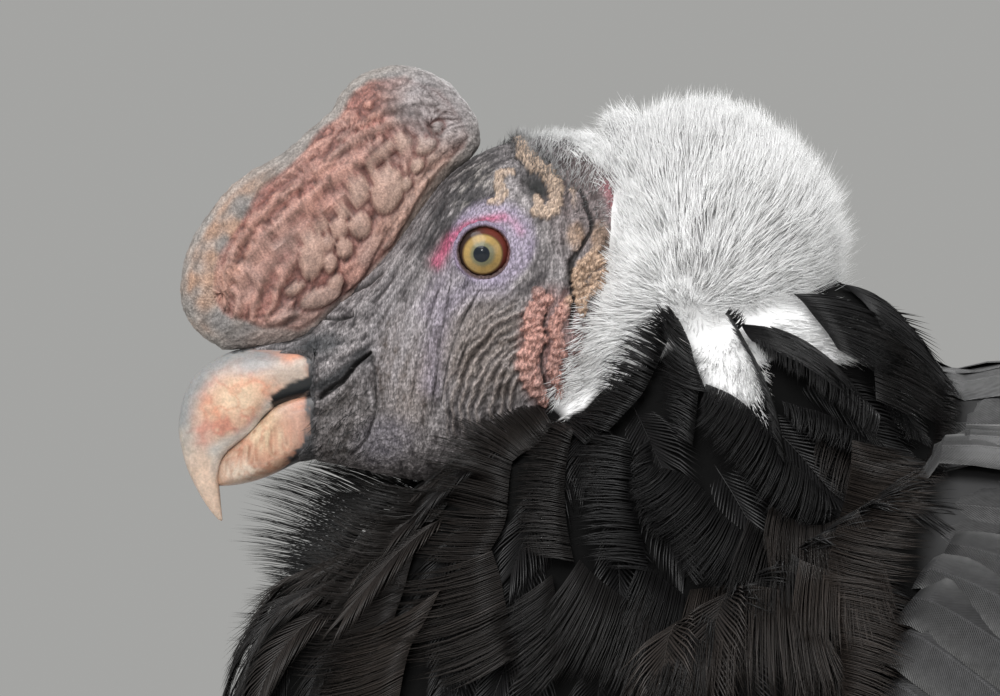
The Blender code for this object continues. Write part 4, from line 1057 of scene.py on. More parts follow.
# Spikes and strips: thin closed blades of many kinds.
def blades(centres, across, out, wide, thick):
    """Closed three-sided blades. centres is blades x places x 3, whose last place is the tip;
    across, out, wide and thick are given at each place but the tip."""
    count, places = centres.shape[0], centres.shape[1]
    rings = places - 1
    body = centres[:, :rings]
    w, t = wide[..., None], thick[..., None]
    ring = np.stack([body - across * w - out * t * 0.4, body + across * w - out * t * 0.4,
                     body + out * t], axis=2)
    verts = np.concatenate([ring.reshape(count, rings * 3, 3), centres[:, -1:]], axis=1)
    one = []
    for i in range(rings - 1):
        for k in range(3):
            a, b = i * 3 + k, i * 3 + (k + 1) % 3
            one += [(a, b, b + 3), (a, b + 3, a + 3)]
    tip = rings * 3
    for k in range(3):
        one.append((tip - 3 + k, tip - 3 + (k + 1) % 3, tip))
    one.append((2, 1, 0))
    stride = tip + 1
    faces = (np.asarray(one)[None] + (np.arange(count) * stride)[:, None, None]).reshape(-1, 3)
    return verts.reshape(-1, 3), faces


def patches(base, offset):
    """Each feather's patch on the coat's map: its points' offsets from its root's place."""
    return (np.clip(base, 0.003, 0.997)[:, None] + offset[None]).reshape(-1, 2)


def batches(count, triangles):
    """Slices of many like blades or feathers, so that each piece stays under the limit."""
    most = LIMIT // triangles
    return [slice(start, start + most) for start in range(0, count, most)]


def skin_map(points):
    """Places of points on an unwrap of the skin's own shape: how far along the bird, and how far
    round it."""
    low, high = CAD_BOX
    along = (points[:, 0] - low[0]) / (high[0] - low[0])
    axis_z = np.interp(points[:, 0], [-0.42, -0.30, -0.1, 0.3], [0.63, 0.60, 0.42, 0.27])
    turn = np.arctan2(points[:, 1], points[:, 2] - axis_z) / (2 * np.pi) + 0.5
    return np.stack([0.01 + 0.98 * along, 0.01 + 0.98 * turn], 1)


# The most triangles in a piece of the coat.
LIMIT = 190000
# The length of a feather's patch on the coat's map.
PATCH_LENGTH = 0.0026


def blade_pieces(name, slot, material, data, nodes=()):
    """Joins blades into pieces that stay under the limit of triangles. data holds centres, across,
    out, wide, thick, colours at the root and at the tip."""
    centres, across, out, wide, thick, root_tone, tip_tone = data
    rings = centres.shape[1] - 1
    share = np.concatenate([np.repeat(np.arange(rings), 3), [rings]]) / rings
    sides = np.concatenate([np.tile([-1.0, 1.0, 0.0], rings), [0.0]])
    offset = np.stack([sides * 0.0012, (share - 0.5) * PATCH_LENGTH], 1)
    for n, s in enumerate(batches(len(centres), 6 * (rings - 1) + 4)):
        verts, faces = blades(centres[s], across[s], out[s], wide[s], thick[s])
        tone = blend(root_tone[s][:, None], tip_tone[s][:, None], share[None, :, None])
        uv = patches(skin_map(centres[s][:, 0]), offset)
        obj = new_object(f"{name}_{n + 1}", verts, faces, material, tone.reshape(-1, 3), uv)
        place(obj, slot, *(nodes if n == 0 else ()))


def egg_scatter(rng, density):
    """Random points on the ruff's form, and its normals."""
    points, normals = [], []
    for centre, radii in RUFF_EGGS:
        area = 4 * np.pi * ((radii[0] * radii[1]) ** 1.6 + (radii[0] * radii[2]) ** 1.6
                            + (radii[1] * radii[2]) ** 1.6) ** (1 / 1.6) / 3 ** (1 / 1.6)
        ray = unit(rng.normal(size=(int(area * density), 3)))
        middle = head_place(centre[0], centre[1], centre[2])
        points.append(middle + ray * np.asarray(radii) * MM)
        normals.append(unit(ray / np.asarray(radii)))
    points, normals = np.concatenate(points), np.concatenate(normals)
    keep = ruff_depth(points) > -0.25
    return points[keep], normals[keep]


# The white that shows between the black vanes below the ruff, in pixels.
WHITE_BELOW = [
    (596, 296), (650, 285), (720, 280), (797, 284), (832, 310), (850, 334), (862, 352), (842, 358),
    (816, 353), (790, 338), (770, 330), (762, 345), (760, 380), (757, 410), (744, 402), (718, 389),
    (699, 374), (690, 345), (676, 322), (660, 318), (640, 345), (610, 385), (575, 412), (562, 416),
]
# Tufts of down for each square millimetre of the ruff, and of the white below it.
DOWN_DENSITY = 1.95
WHITE_DENSITY = 2.3
# How many places of the head are tried for a tuft of down.
REAR_PLACES = 75000
# Where the down radiates from, in pixels: on the ruff, and below it.
DOWN_HUB = (690, 318)
LOW_DOWN_HUB = (705, 262)


def inside_outline(x, y, outline):
    """Which pixels lie inside a closed outline."""
    within = np.zeros(len(x), bool)
    ax, ay = outline[-1]
    for bx, by in outline:
        crosses = (by > y) != (ay > y)
        within ^= crosses & (x < (ax - bx) * (y - by) / (ay - by + 1e-9) + bx)
        ax, ay = bx, by
    return within


def flattened(ways, normals):
    """Directions turned to run along a surface."""
    return unit(ways - normals * np.sum(ways * normals, 1, keepdims=True))


def down_lie(points, normals, hub):
    """The way down lies: out from a hub, along the surface."""
    lie = points - behind(*hub, 0.0)
    lie[:, 1] *= 0.15
    return flattened(lie, normals)


def down_places(rng, head, head_faces, head_tree, black_tree, core, core_faces):
    """Where the white down grows: roots, normals, the way it lies, and how many of the last ones
    grow below the ruff."""
    points, normals = egg_scatter(rng, DOWN_DENSITY)
    keep = np.array([outside(head_tree, p, -0.0005) for p in points])
    keep &= np.array([outside(black_tree, p, -0.004) for p in points])
    points, normals = points[keep], normals[keep]
    rear, rear_normals = surface_scatter(rng, head, head_faces, REAR_PLACES)
    x, y = seen(rear)
    ahead, _ = line_distance(x, y, DOWN_EDGE)
    keep = ((behind_edge(x, y) > 0) | (ahead < 4)) & (y < 420) & (ruff_depth(rear) > -0.3)
    rear, rear_normals = rear[keep], rear_normals[keep]
    outward = np.sum((rear - head_place(*HEAD_CENTRE)) * rear_normals, 1, keepdims=True)
    rear_normals = rear_normals * np.sign(outward)
    middles = core[core_faces].mean(1)
    x, y = seen(middles)
    zone = core_faces[inside_outline(x, y, WHITE_BELOW) & (ruff_depth(middles) > -0.5)]
    a, b, c = (core[zone[:, k]] for k in range(3))
    area = np.linalg.norm(np.cross(b - a, c - a), axis=1).sum() / 2
    low, low_normals = surface_scatter(rng, core, zone, int(area / MM**2 * WHITE_DENSITY))
    lie = np.concatenate([
        down_lie(np.concatenate([points, rear]), np.concatenate([normals, rear_normals]), DOWN_HUB),
        down_lie(low, low_normals, LOW_DOWN_HUB),
    ])
    points = np.concatenate([points, rear, low])
    normals = np.concatenate([normals, rear_normals, low_normals])
    x, y = seen(points)
    keep = (behind_edge(x, y) > 0) | (line_distance(x, y, DOWN_EDGE)[0] < 4)
    low_count = int(keep[len(keep) - len(low):].sum())
    return points[keep], normals[keep], lie[keep], low_count


def make_down(*surfaces):
    """The white down: thin tufts that radiate up and back from the middle of the neck, forward over
    the edge of the face, and down between the black vanes."""
    rng = np.random.default_rng(11)
    points, normals, lie, low_count = down_places(rng, *surfaces)
    x, y = seen(points)
    n = len(points)
    tangle = np.stack([noise(points, 0.0060, 40 + k) for k in range(3)], 1)
    tangle += 0.5 * np.stack([noise(points, 0.0022, 50 + k) for k in range(3)], 1)
    edge, _ = line_distance(x, y, DOWN_EDGE)
    short = 0.55 + 0.45 * smooth(0, 45, edge)
    crown = spot(x, y, (575, 140), (40, 26), 25, 0.5)
    whorl = spot(x, y, (690, 312), (40, 34), 0, 0.6) * (np.abs(points[:, 1]) > 0.02)
    below = np.arange(n) >= n - low_count
    length = (12.5 + 1.7 * rng.normal(size=n)) * short * (1 - 0.35 * crown) * (1 - 0.35 * whorl) * MM
    length = np.where(below, length * 0.62, length)
    rise = np.clip(0.40 + 0.10 * rng.normal(size=n), 0.15, 0.7) * (0.6 + 0.4 * smooth(0, 60, edge))
    rise = np.where(below, rise * 0.55, rise)
    jitter = (rng.normal(size=(n, 3)) * 0.09 + 0.26 * tangle) * np.where(below, 0.6, 1.0)[:, None]
    start = unit(lie * (1 - rise)[:, None] + normals * rise[:, None] + jitter)
    end = unit(start + lie * 0.55 + jitter * 0.8 + rng.normal(size=(n, 3)) * 0.10)
    root = points - normals * 0.0012
    mid = root + start * (length * 0.55)[:, None]
    tip = mid + end * (length * 0.5)[:, None]
    centres = np.stack([root, mid, tip], 1)
    across = unit(np.cross(start, normals))
    wide = np.stack([np.full(n, 0.20), np.full(n, 0.15)], 1) * MM * rng.uniform(0.6, 1.2, (n, 1))
    # Random grey mottle, and painted shade that darkens the lowest down.
    grey = 0.06 * noise(points, 0.012, 44) + 0.10 * smooth(320, 400, y)
    shade = (0.90 + 0.03 * rng.normal(size=n) - grey.clip(0, 0.2))[:, None] * np.ones(3)
    dark = spot(x, y, (556, 136), (26, 14), 25, 0.6)[:, None] * (rng.random((n, 1)) < 0.6)
    shade = shade * (1 - 0.9 * dark)
    data = (centres, np.repeat(across[:, None], 2, 1), np.repeat(normals[:, None], 2, 1), wide,
            wide * 0.6, np.clip(shade * 0.97, 0, 0.93), np.clip(shade * 1.03, 0, 0.94))
    material = feather_material("white_down", 0.9, 0.1, 0.97, 1.02, Subsurface_Weight=0.4)
    radius = material.node_tree.nodes["Principled BSDF"].inputs["Subsurface Radius"]
    radius.default_value = (0.006, 0.006, 0.006)
    blade_pieces("down", "white_down", material, data, ("ruff",))


# Zones of bristles: centre, radii and turn in pixels, the share of places that bear one, the way they
# lie in pixels, their length in mm and their rise.
BRISTLE_ZONES = [
    ((562, 158), (64, 26), 25, 0.85, (0.45, -0.90), 3.6, 0.55),
    ((540, 138), (44, 12), 12, 0.90, (0.35, -0.95), 4.2, 0.65),
    ((600, 196), (26, 34), 0, 0.30, (0.80, -0.30), 3.0, 0.40),
    ((470, 185), (58, 30), -35, 0.22, (0.70, -0.70), 2.2, 0.40),
    ((346, 424), (32, 44), 20, 0.42, (-0.62, 0.78), 4.6, 0.16),
    ((330, 352), (34, 20), -35, 0.40, (0.70, -0.60), 2.4, 0.30),
]
# How many places of the head are tried for a bristle.
BRISTLE_PLACES = 60000


def make_bristles(head, head_faces):
    """Short dark bristles on the crown, the forehead and the jaw, greyer towards the down."""
    rng = np.random.default_rng(17)
    points, normals = surface_scatter(rng, head, head_faces, BRISTLE_PLACES)
    normals = normals * np.sign(np.sum((points - head_place(*HEAD_CENTRE)) * normals, 1, keepdims=True))
    x, y = seen(points)
    share, length, rise = np.zeros(len(x)), np.zeros(len(x)), np.zeros(len(x))
    lie = np.zeros((len(x), 3))
    for centre, radii, turn, dense, way, long, up in BRISTLE_ZONES:
        part = spot(x, y, centre, radii, turn, 0.5) * dense
        more = part > share
        share = np.maximum(share, part)
        length, rise = np.where(more, long, length), np.where(more, up, rise)
        lie[more] = (way[0], 0.0, -way[1])
    keep = (rng.random(len(x)) < share) & (behind_edge(x, y) < 6) & (np.hypot(x - 483, y - 252) > 40)
    points, normals, lie, x, y = points[keep], normals[keep], lie[keep], x[keep], y[keep]
    n = len(points)
    lie = flattened(lie, normals)
    bend = 0.22 * rng.normal(size=(n, 3))
    up = rise[keep][:, None]
    start = unit(lie * (1 - up) + normals * up + bend)
    reach = (length[keep] * rng.uniform(0.6, 1.3, n) * MM)[:, None]
    root = points - normals * 0.0006
    middle = root + start * reach * 0.5
    tip = middle + unit(start + lie * 0.4 + bend * 0.6) * reach * 0.5
    centres = np.stack([root, middle, tip], 1)
    across = unit(np.cross(start, normals))
    wide = np.tile((0.10, 0.075), (n, 1)) * MM * rng.uniform(0.7, 1.2, (n, 1))
    edge, _ = line_distance(x, y, DOWN_EDGE)
    pale = np.clip(smooth(46, 4, edge) * (y < 250) + 0.12 * (rng.random(n) < 0.25), 0, 1)[:, None]
    tone = blend((0.012, 0.012, 0.013), (0.62, 0.62, 0.62), pale)
    data = (centres, np.repeat(across[:, None], 2, 1), np.repeat(normals[:, None], 2, 1), wide,
            wide * 0.6, tone, tone * 1.2)
    blade_pieces("bristles", "black_feathers", feather_material("bristles", 0.5, 0.3), data)


def outside(tree, point, margin):
    """Whether a point lies outside a closed surface by more than a margin."""
    near, normal, _, distance = tree.find_nearest(Vector(point))
    if near is None:
        return True
    depth = distance if (Vector(point) - near).dot(normal) > 0 else -distance
    return depth > margin


def tree_from(verts, faces):
    """A search tree of a closed surface, whose triangles are turned to face outwards."""
    a, b, c = (verts[faces[:, k]] for k in range(3))
    volume = np.sum(np.cross(a, b) * c)
    if volume < 0:
        faces = faces[:, ::-1]
    return BVHTree.FromPolygons(verts.tolist(), faces.tolist())


COMB_ROWS = 84
COMB_SIDES = 460
# A turn that takes the noise's lattice off the comb's plane.
OBLIQUE = np.asarray(Euler((0.7, 0.5, 0.9)).to_matrix())


def make_comb():
    """The comb: its outline drawn in to its thickest line, with folds, bulbs and grains."""
    at = np.linspace(0, len(COMB_OUTLINE), COMB_SIDES, endpoint=False)
    outline = spline(COMB_OUTLINE + COMB_OUTLINE[:1], at)
    a, b = np.asarray(COMB_SPINE[0]), np.asarray(COMB_SPINE[1])
    t = np.clip((outline - a) @ (b - a) / ((b - a) @ (b - a)), 0, 1)
    spine = a + t[:, None] * (b - a)
    # Rings from the spine on one side over the rim to the spine on the other.
    ang = np.linspace(-np.pi / 2, np.pi / 2, COMB_ROWS)
    inward = np.cos(ang) ** 0.62
    outward = squared(np.sin(ang), 0.75)
    grid2 = spine[None] + (outline - spine)[None] * inward[:, None, None]
    side = outward[:, None] * COMB_THICK * np.ones(len(outline))
    grid = head_place(grid2[..., 0], grid2[..., 1], side)
    normals = grid_normals(grid, head_place(47, 13, 0))
    points = grid.reshape(-1, 3)
    same = on_left(points) @ OBLIQUE
    x, y = seen(points)
    dx, dy = flow(x, y, COMB_LINES)
    along = np.stack([dx, np.zeros(len(dx)), -dy], 1) @ OBLIQUE
    long = smear(same, along, 0.0030, 0.016, 61)
    fine = smear(same, along, 0.0010, 0.0030, 62, 5)
    net = smooth(0.0, 0.20, np.abs(noise(same, 0.0044, 63) + 0.45 * noise(same, 0.0022, 69)))
    grain, grain2, _ = cells(same, 0.0011, 64)
    crust = 1 - smooth(0.0, 0.35, grain2 - grain)
    inner = rim_distance(x, y, same)
    tall, fold = fold_height(x, y, same, COMB_FOLDS, 0.0)
    bulb, bulbs, outline_dark = bulb_height(x, y, same)
    bare = (1 - fold * 0.4) * (1 - bulbs)
    thin = smear(same, along, 0.0021, 0.010, 67)
    lines = np.maximum(np.exp(-((long / 0.10) ** 2)), 0.7 * np.exp(-((thin / 0.10) ** 2)))
    lines = lines * (1 - bulbs)
    height = bare * inner * (0.55 * np.tanh(1.8 * long) + 0.30 * (net - 0.5))
    height = height + 0.14 * fine - 0.14 * crust
    height += np.maximum(1.05 * tall * inner, bulb) - 0.75 * outline_dark
    height -= lines * (0.20 + 0.35 * inner)
    height += (0.35 * noise(same, 0.006, 65) + 0.22 * noise(same, 0.0026, 66)) * (1 - inner)
    height -= 1.6 * inner * (1 - inner)
    moved = points + normals.reshape(-1, 3) * height[:, None] * MM
    tone = comb_colours(x, y, same, long, fine, crust, net, inner, bulbs, outline_dark, height)
    # Painted shade in the thin creases.
    tone = mix(tone, tone * 0.38, lines * (0.35 + 0.5 * inner))
    finish = skin_material("comb_finish", 0.5, 1500, 0.80, 1.20, 0.00028, 1.0, 0.86, Coat_Weight=0.10,
                           Coat_Roughness=0.35)
    comb = new_object("comb_skin", moved, grid_faces(COMB_ROWS, COMB_SIDES, wrap=True), finish, tone)
    place(comb, "comb", "comb")


# Directions of the comb's creases, given like the skin's.
COMB_LINES = [
    (200, 260, 0.35, -1), (215, 220, 0.6, -1), (250, 180, 0.9, -0.8), (300, 140, 1, -0.7),
    (230, 300, 0.25, -1), (250, 260, 0.6, -1), (280, 230, 0.8, -0.8), (320, 190, 1, -0.6),
    (360, 150, 1, -0.5), (400, 110, 1, -0.1), (440, 100, 1, 0.3), (380, 130, 1, -0.25),
    (270, 310, 1, -0.6), (300, 290, 1, -0.7), (330, 270, 0.7, -1), (350, 240, 0.6, -1),
    (370, 210, 0.6, -1), (400, 180, 0.8, -0.9), (430, 150, 0.9, -0.7), (300, 250, 0.6, -1),
    (220, 330, 0.9, -0.1), (200, 310, 0.4, -1), (440, 190, 0.8, -1), (420, 230, 0.7, -1),
]
# The comb's folds, given like the skin's.
COMB_FOLDS = [
    ([(236, 322, 4), (238, 296, 6), (246, 268, 7), (262, 240, 7), (284, 218, 7), (312, 202, 5)],
     1.5, 0.3, 16),
    ([(250, 326, 3), (256, 300, 5), (264, 274, 6), (280, 250, 7), (302, 228, 6), (322, 210, 4)],
     1.4, 0.3, 14),
    ([(268, 318, 3), (276, 294, 5), (288, 268, 6), (300, 250, 5)], 1.3, 0.3, 14),
    ([(300, 204, 4), (322, 186, 6), (346, 168, 6), (374, 152, 6), (398, 142, 4)], 1.4, 0.35, 13),
    ([(318, 214, 3), (334, 198, 5), (350, 182, 5), (372, 166, 5)], 1.3, 0.35, 12),
    ([(316, 172, 4), (340, 150, 5), (368, 132, 5), (400, 120, 4)], 1.0, 0.3, 14),
    ([(340, 140, 3), (362, 122, 4), (390, 108, 4), (420, 102, 3)], 0.7, 0.3, 12),
    ([(226, 306, 3), (226, 276, 5), (236, 246, 6), (254, 220, 6), (280, 198, 5), (300, 184, 3)],
     1.3, 0.3, 15),
    ([(216, 290, 3), (218, 262, 4), (230, 232, 5), (250, 206, 4)], 0.9, 0.3, 13),
    ([(246, 340, 3), (264, 328, 5), (284, 316, 5), (300, 312, 3)], 1.0, 0.3, 12),
    ([(400, 226, 4), (408, 208, 6), (420, 192, 6), (436, 176, 6), (450, 162, 4)], 1.2, 0.7, 8),
    ([(388, 246, 4), (398, 230, 6), (408, 216, 5)], 1.2, 0.7, 8),
]
# Bulbs: x, y, half length, half width in pixels, and how far their long axis turns from upright.
COMB_BULBS = [
    (387, 190, 24, 16, 15), (359, 192, 16, 10, 12), (360, 225, 14.5, 12, 5), (339, 228, 12, 10, 0),
    (321, 226, 9, 8.5, 0), (344, 213, 8, 6.5, 30), (312, 256, 24, 13, 8), (345, 248, 11, 9, 0),
    (328, 243, 9, 8, 60), (321, 297, 23, 10, 70), (296, 289, 13, 6, 60), (336, 284, 10, 8, 20),
    (426, 146, 12, 8, 55), (403, 141, 13, 8, 50), (385, 152, 14, 8, 35), (437, 126, 8, 6, 60),
    (330, 262, 12, 8, 10), (418, 165, 9, 7, 45), (405, 184, 9, 7, 30), (372, 165, 12, 6, 35),
]


def bulb_height(x, y, same):
    """The tallest of the comb's rounded bulbs at each pixel, in mm, where they are, and the crease
    round them."""
    tall = np.zeros(len(x))
    share = np.zeros(len(x))
    crease = np.zeros(len(x))
    wx, wy = x + 1.4 * noise(same, 0.004, 70), y + 1.4 * noise(same, 0.004, 71)
    for bx, by, long, wide, turn in COMB_BULBS:
        c, s = math.cos(math.radians(turn)), math.sin(math.radians(turn))
        dx, dy = wx - bx, wy - by
        r = np.hypot((dx * c + dy * s) / wide, (dx * s - dy * c) / long)
        h = 0.17 * wide * np.sqrt(np.clip(1 - r * r, 0, 1))
        tall = np.maximum(tall, h)
        share = np.maximum(share, 1 - smooth(0.85, 1.1, r))
        crease = np.maximum(crease, np.exp(-(((r - 1.06) * wide / 1.8) ** 2)))
    return tall, share, crease * (1 - smooth(0.3, 0.9, tall))


# The rim's width, by how far along the comb: both in pixels.
RIM_WIDTH = [(200, 34), (235, 32), (265, 20), (310, 11), (380, 10), (470, 12)]


def rim_distance(x, y, same):
    """0 on the comb's rim, 1 on the field inside it."""
    gap, _ = line_distance(x, y, COMB_LINE)
    wide = looked_up(RIM_WIDTH, x)
    lower = smooth(-10, 40, (y - 318) + 0.62 * (x - 300))
    wide = wide * (1 - 0.62 * lower)
    return smooth(wide - 4, wide + 4, gap + 3.5 * noise(same, 0.008, 68))


# Brown bulbs along the lower edge, the grey-lilac top, and painted shade along the underside.
COMB_DABS = [
    ((0.44, 0.315, 0.255), 0.5, (415, 195), (20, 62), 35),
    ((0.37, 0.34, 0.35), 0.72, (440, 105), (50, 36), 30, 0.6),
    ((0.25, 0.175, 0.155), 0.55, (315, 315), (80, 20), -25, 0.5),
]


def comb_colours(x, y, same, long, fine, crust, net, inner, bulbs, outline_dark, height):
    """Grey rim with peach patches, salmon field, grey-brown bulbs, grey-lilac top, with painted shade in
    its valleys, creases and hollows and painted highlight on its raised texture.
    """
    broad = noise(same, 0.011, 75)
    patch = noise(same, 0.0055, 76)
    peach = smooth(-0.25, 0.35, patch) * spot(x, y, (205, 262), (40, 110), 22, 0.5)
    colours = mix((0.300, 0.262, 0.240), (0.46, 0.275, 0.185), 0.85 * peach)
    colours = mix(colours, (0.20, 0.20, 0.205), 0.55 * smooth(0.1, 0.7, -patch))
    edge, _ = line_distance(x, y, COMB_LINE)
    colours = mix(colours, (0.35, 0.325, 0.305), 0.7 * (1 - smooth(3, 10, edge)))
    grey_top = spot(x, y, (440, 110), (52, 40), 30, 0.5)
    red = inner * np.clip(0.86 + 0.25 * broad, 0, 1) * (1 - 0.75 * grey_top)
    field = mix((0.475, 0.250, 0.200), (0.40, 0.25, 0.21), 0.7 * smooth(0.0, 0.6, -patch))
    colours = mix(colours, field, red)
    # Painted shade in the field's valleys, darker the lower the surface.
    valley_shade = 1 - smooth(-0.5, 0.7, height)
    colours = mix(colours, (0.275, 0.092, 0.078), 0.72 * valley_shade * red)
    colours = mix(colours, (0.43, 0.29, 0.235), 0.75 * bulbs)
    colours = dabbed(colours, x, y, COMB_DABS)
    # Painted highlight on the raised texture, and painted shade between the grains.
    light = np.clip(0.98 + 0.20 * fine + 0.12 * long, 0.5, 1.5)
    colours = colours * light[:, None] * (1 - 0.25 * crust)[:, None]
    # Painted shade in the crease round each bulb.
    colours = mix(colours, (0.13, 0.05, 0.042), 0.72 * outline_dark)
    # Painted shade in the deepest hollows.
    deep = 1 - smooth(-0.95, -0.25, height)
    colours = mix(colours, (0.11, 0.042, 0.035), 0.42 * deep * inner)
    # Painted shade along the low lines of the net.
    return colours * (0.85 + 0.15 * net)[:, None]


def make_bill():
    """The upper and lower bill."""
    material = horn_material("horn")
    upper = ring_mesh(BILL_UPPER, 140, 120, 0.9, 0.42)
    points = upper.reshape(-1, 3)
    verts, faces = closed_grid(upper)
    normals = grid_normals(upper, head_place(70, -45, 0)).reshape(-1, 3)
    same = on_left(points)
    verts[: len(points)] += normals * (0.10 * noise(same, 0.006, 90))[:, None] * MM
    obj = new_object("bill_upper_horn", verts, faces, material, upper_bill_colours(verts))
    place(obj, "bill", "bill_upper")
    lower = ring_mesh(BILL_LOWER, 90, 96, 0.42, 0.9)
    verts, faces = closed_grid(lower)
    obj = new_object("bill_lower_horn", verts, faces, material, lower_bill_colours(verts))
    place(obj, "bill", "bill_lower")


# Where skin ends on the horn, in pixels: y and x.
SKIN_ON_HORN = [(330, 236), (344, 246), (349, 262), (352, 292), (357, 303), (366, 308), (381, 312),
                (399, 307), (424, 307), (443, 301), (455, 293), (470, 282)]


def skin_over(colours, x, y, same):
    """Dark ragged skin over the horn behind its edge."""
    past = x - looked_up(SKIN_ON_HORN, y + 2.5 * noise(same, 0.004, 170))
    past = past + 4.5 * noise(same, 0.0026, 171) + 2.5 * noise(same, 0.0010, 172)
    skin = np.tile((0.045, 0.043, 0.045), (len(x), 1)) * (1 + 0.7 * noise(same, 0.0009, 173))[:, None]
    colours = mix(colours, (0.20, 0.10, 0.075), 0.5 * smooth(-9, -1, past))
    return mix(colours, np.clip(skin, 0.01, 1), smooth(-1.2, 1.2, past))


BILL_TIP_DABS = [
    ((0.66, 0.485, 0.375), 0.8, (208, 488), (18, 36), -25, 0.5),
    ((0.62, 0.57, 0.52), 0.6, (221, 458), (8, 18), 20),
]
BILL_REAR_DABS = [
    ((0.36, 0.29, 0.245), 0.65, (286, 372), (24, 11), 0, 0.6),
    ((0.22, 0.235, 0.245), 0.75, (258, 362), (24, 10), -20, 0.6),
]


def upper_bill_colours(points):
    """Cream and orange-pink horn with a blue-grey ridge, and black flesh at the gape."""
    x, y = seen(points)
    same = on_left(points)
    vein = 1 - np.abs(noise(same, 0.0036, 91) + 0.55 * noise(same, 0.0017, 92))
    fleck = noise(same, 0.0011, 98)
    # A warm mottled middle with a cream patch.
    warm = spot(x, y, (234, 400), (44, 40), -25, 0.45)
    colours = mix((0.50, 0.40, 0.33), (0.64, 0.37, 0.245), 0.80 * warm)
    colours = mix(colours, (0.60, 0.235, 0.145), 0.62 * warm * smooth(0.55, 0.98, vein))
    cream = spot(x, y, (238, 398), (20, 17), 0, 0.6) * (1 - 0.5 * smooth(0.7, 1.0, vein))
    colours = mix(colours, (0.72, 0.56, 0.40), 0.75 * cream)
    band = spot(x, y, (228, 428), (44, 11), -12, 0.6)
    colours = mix(colours, (0.47, 0.19, 0.14), 0.7 * band * smooth(0.3, 0.9, vein))
    colours = mix(colours, (0.50, 0.24, 0.20), 0.4 * spot(x, y, (204, 435), (10, 16)))
    # Translucent blue-grey along the ridge and white along the cutting edge.
    gap, at = line_distance(x, y, [(305, 344), (270, 345), (235, 352), (205, 370), (186, 398),
                                   (180, 430), (186, 462), (200, 490)])
    width = np.interp(at, [0, 0.3, 0.6, 1.0], [10, 17, 14, 7])
    ridge = np.exp(-((gap / width) ** 2))
    colours = mix(colours, (0.245, 0.265, 0.275), 0.90 * ridge * (1 - 0.45 * smooth(0.72, 0.9, at)))
    near = streak(x, y, [(180, 436), (186, 464), (198, 488)], 8)
    colours = mix(colours, (0.58, 0.50, 0.42), 0.6 * near)
    near = streak(x, y, [(270, 405), (262, 418), (250, 431), (232, 442), (214, 451)], 6.5)
    colours = mix(colours, (0.60, 0.585, 0.55), 0.85 * near)
    colours = dabbed(colours, x, y, BILL_TIP_DABS)
    # The rear: orange-pink above, grey-tan, then the black flesh along the mouth.
    rear = spot(x, y, (292, 357), (32, 9), 10, 0.6)
    colours = mix(colours, (0.62, 0.27, 0.17), 0.85 * rear * smooth(-0.5, 0.4, noise(same, 0.003, 99)))
    colours = dabbed(colours, x, y, BILL_REAR_DABS)
    # The comb's painted shadow, a dark line along the top under the comb.
    gap, _ = line_distance(x, y, [(318, 343), (290, 341), (262, 342), (234, 349)])
    colours = mix(colours, (0.032, 0.034, 0.038), 0.9 * (1 - smooth(3.5, 6.5, gap + 2.0 * fleck)))
    colours = colours * (1 + 0.16 * fleck)[:, None]
    colours = skin_over(colours, x, y, same)
    gap, _ = line_distance(x, y, [(279, 400), (292, 392), (308, 385), (326, 381)])
    ragged = 8.5 + 2.4 * noise(same, 0.0016, 93) + 1.5 * noise(same, 0.004, 94)
    return mix(colours, (0.008, 0.010, 0.012), 1 - smooth(ragged * 0.8, ragged * 1.2, gap))


LOWER_BILL_DABS = [
    ((0.60, 0.46, 0.31), 0.75, (266, 432), (18, 20), 0, 0.7),
    ((0.46, 0.255, 0.19), 0.6, (302, 420), (18, 26), 0, 0.6),
    ((0.55, 0.24, 0.15), 0.7, (308, 404), (16, 8), 0, 0.6),
    ((0.55, 0.50, 0.42), 0.6, (240, 470), (20, 12), 0, 0.6),
]


def lower_bill_colours(points):
    """Peach and cream horn with brown dots along its lower half."""
    x, y = seen(points)
    same = on_left(points)
    fleck = noise(same, 0.0011, 198)
    colours = dabbed((0.47, 0.30, 0.215), x, y, LOWER_BILL_DABS)
    first, _, which = cells(same, 0.0019, 95)
    dots = (1 - smooth(0.15, 0.55, first)) * (which > 0.3)
    zone = spot(x, y, (266, 450), (46, 28), -15, 0.5)
    colours = mix(colours, (0.25, 0.115, 0.065), 0.8 * dots * zone)
    vein = 1 - np.abs(noise(same, 0.003, 96) + 0.5 * noise(same, 0.0015, 97))
    colours = mix(colours, (0.46, 0.20, 0.13), 0.55 * smooth(0.6, 1.0, vein) * zone)
    colours = colours * (1 + 0.15 * fleck)[:, None]
    return skin_over(colours, x, y, same)


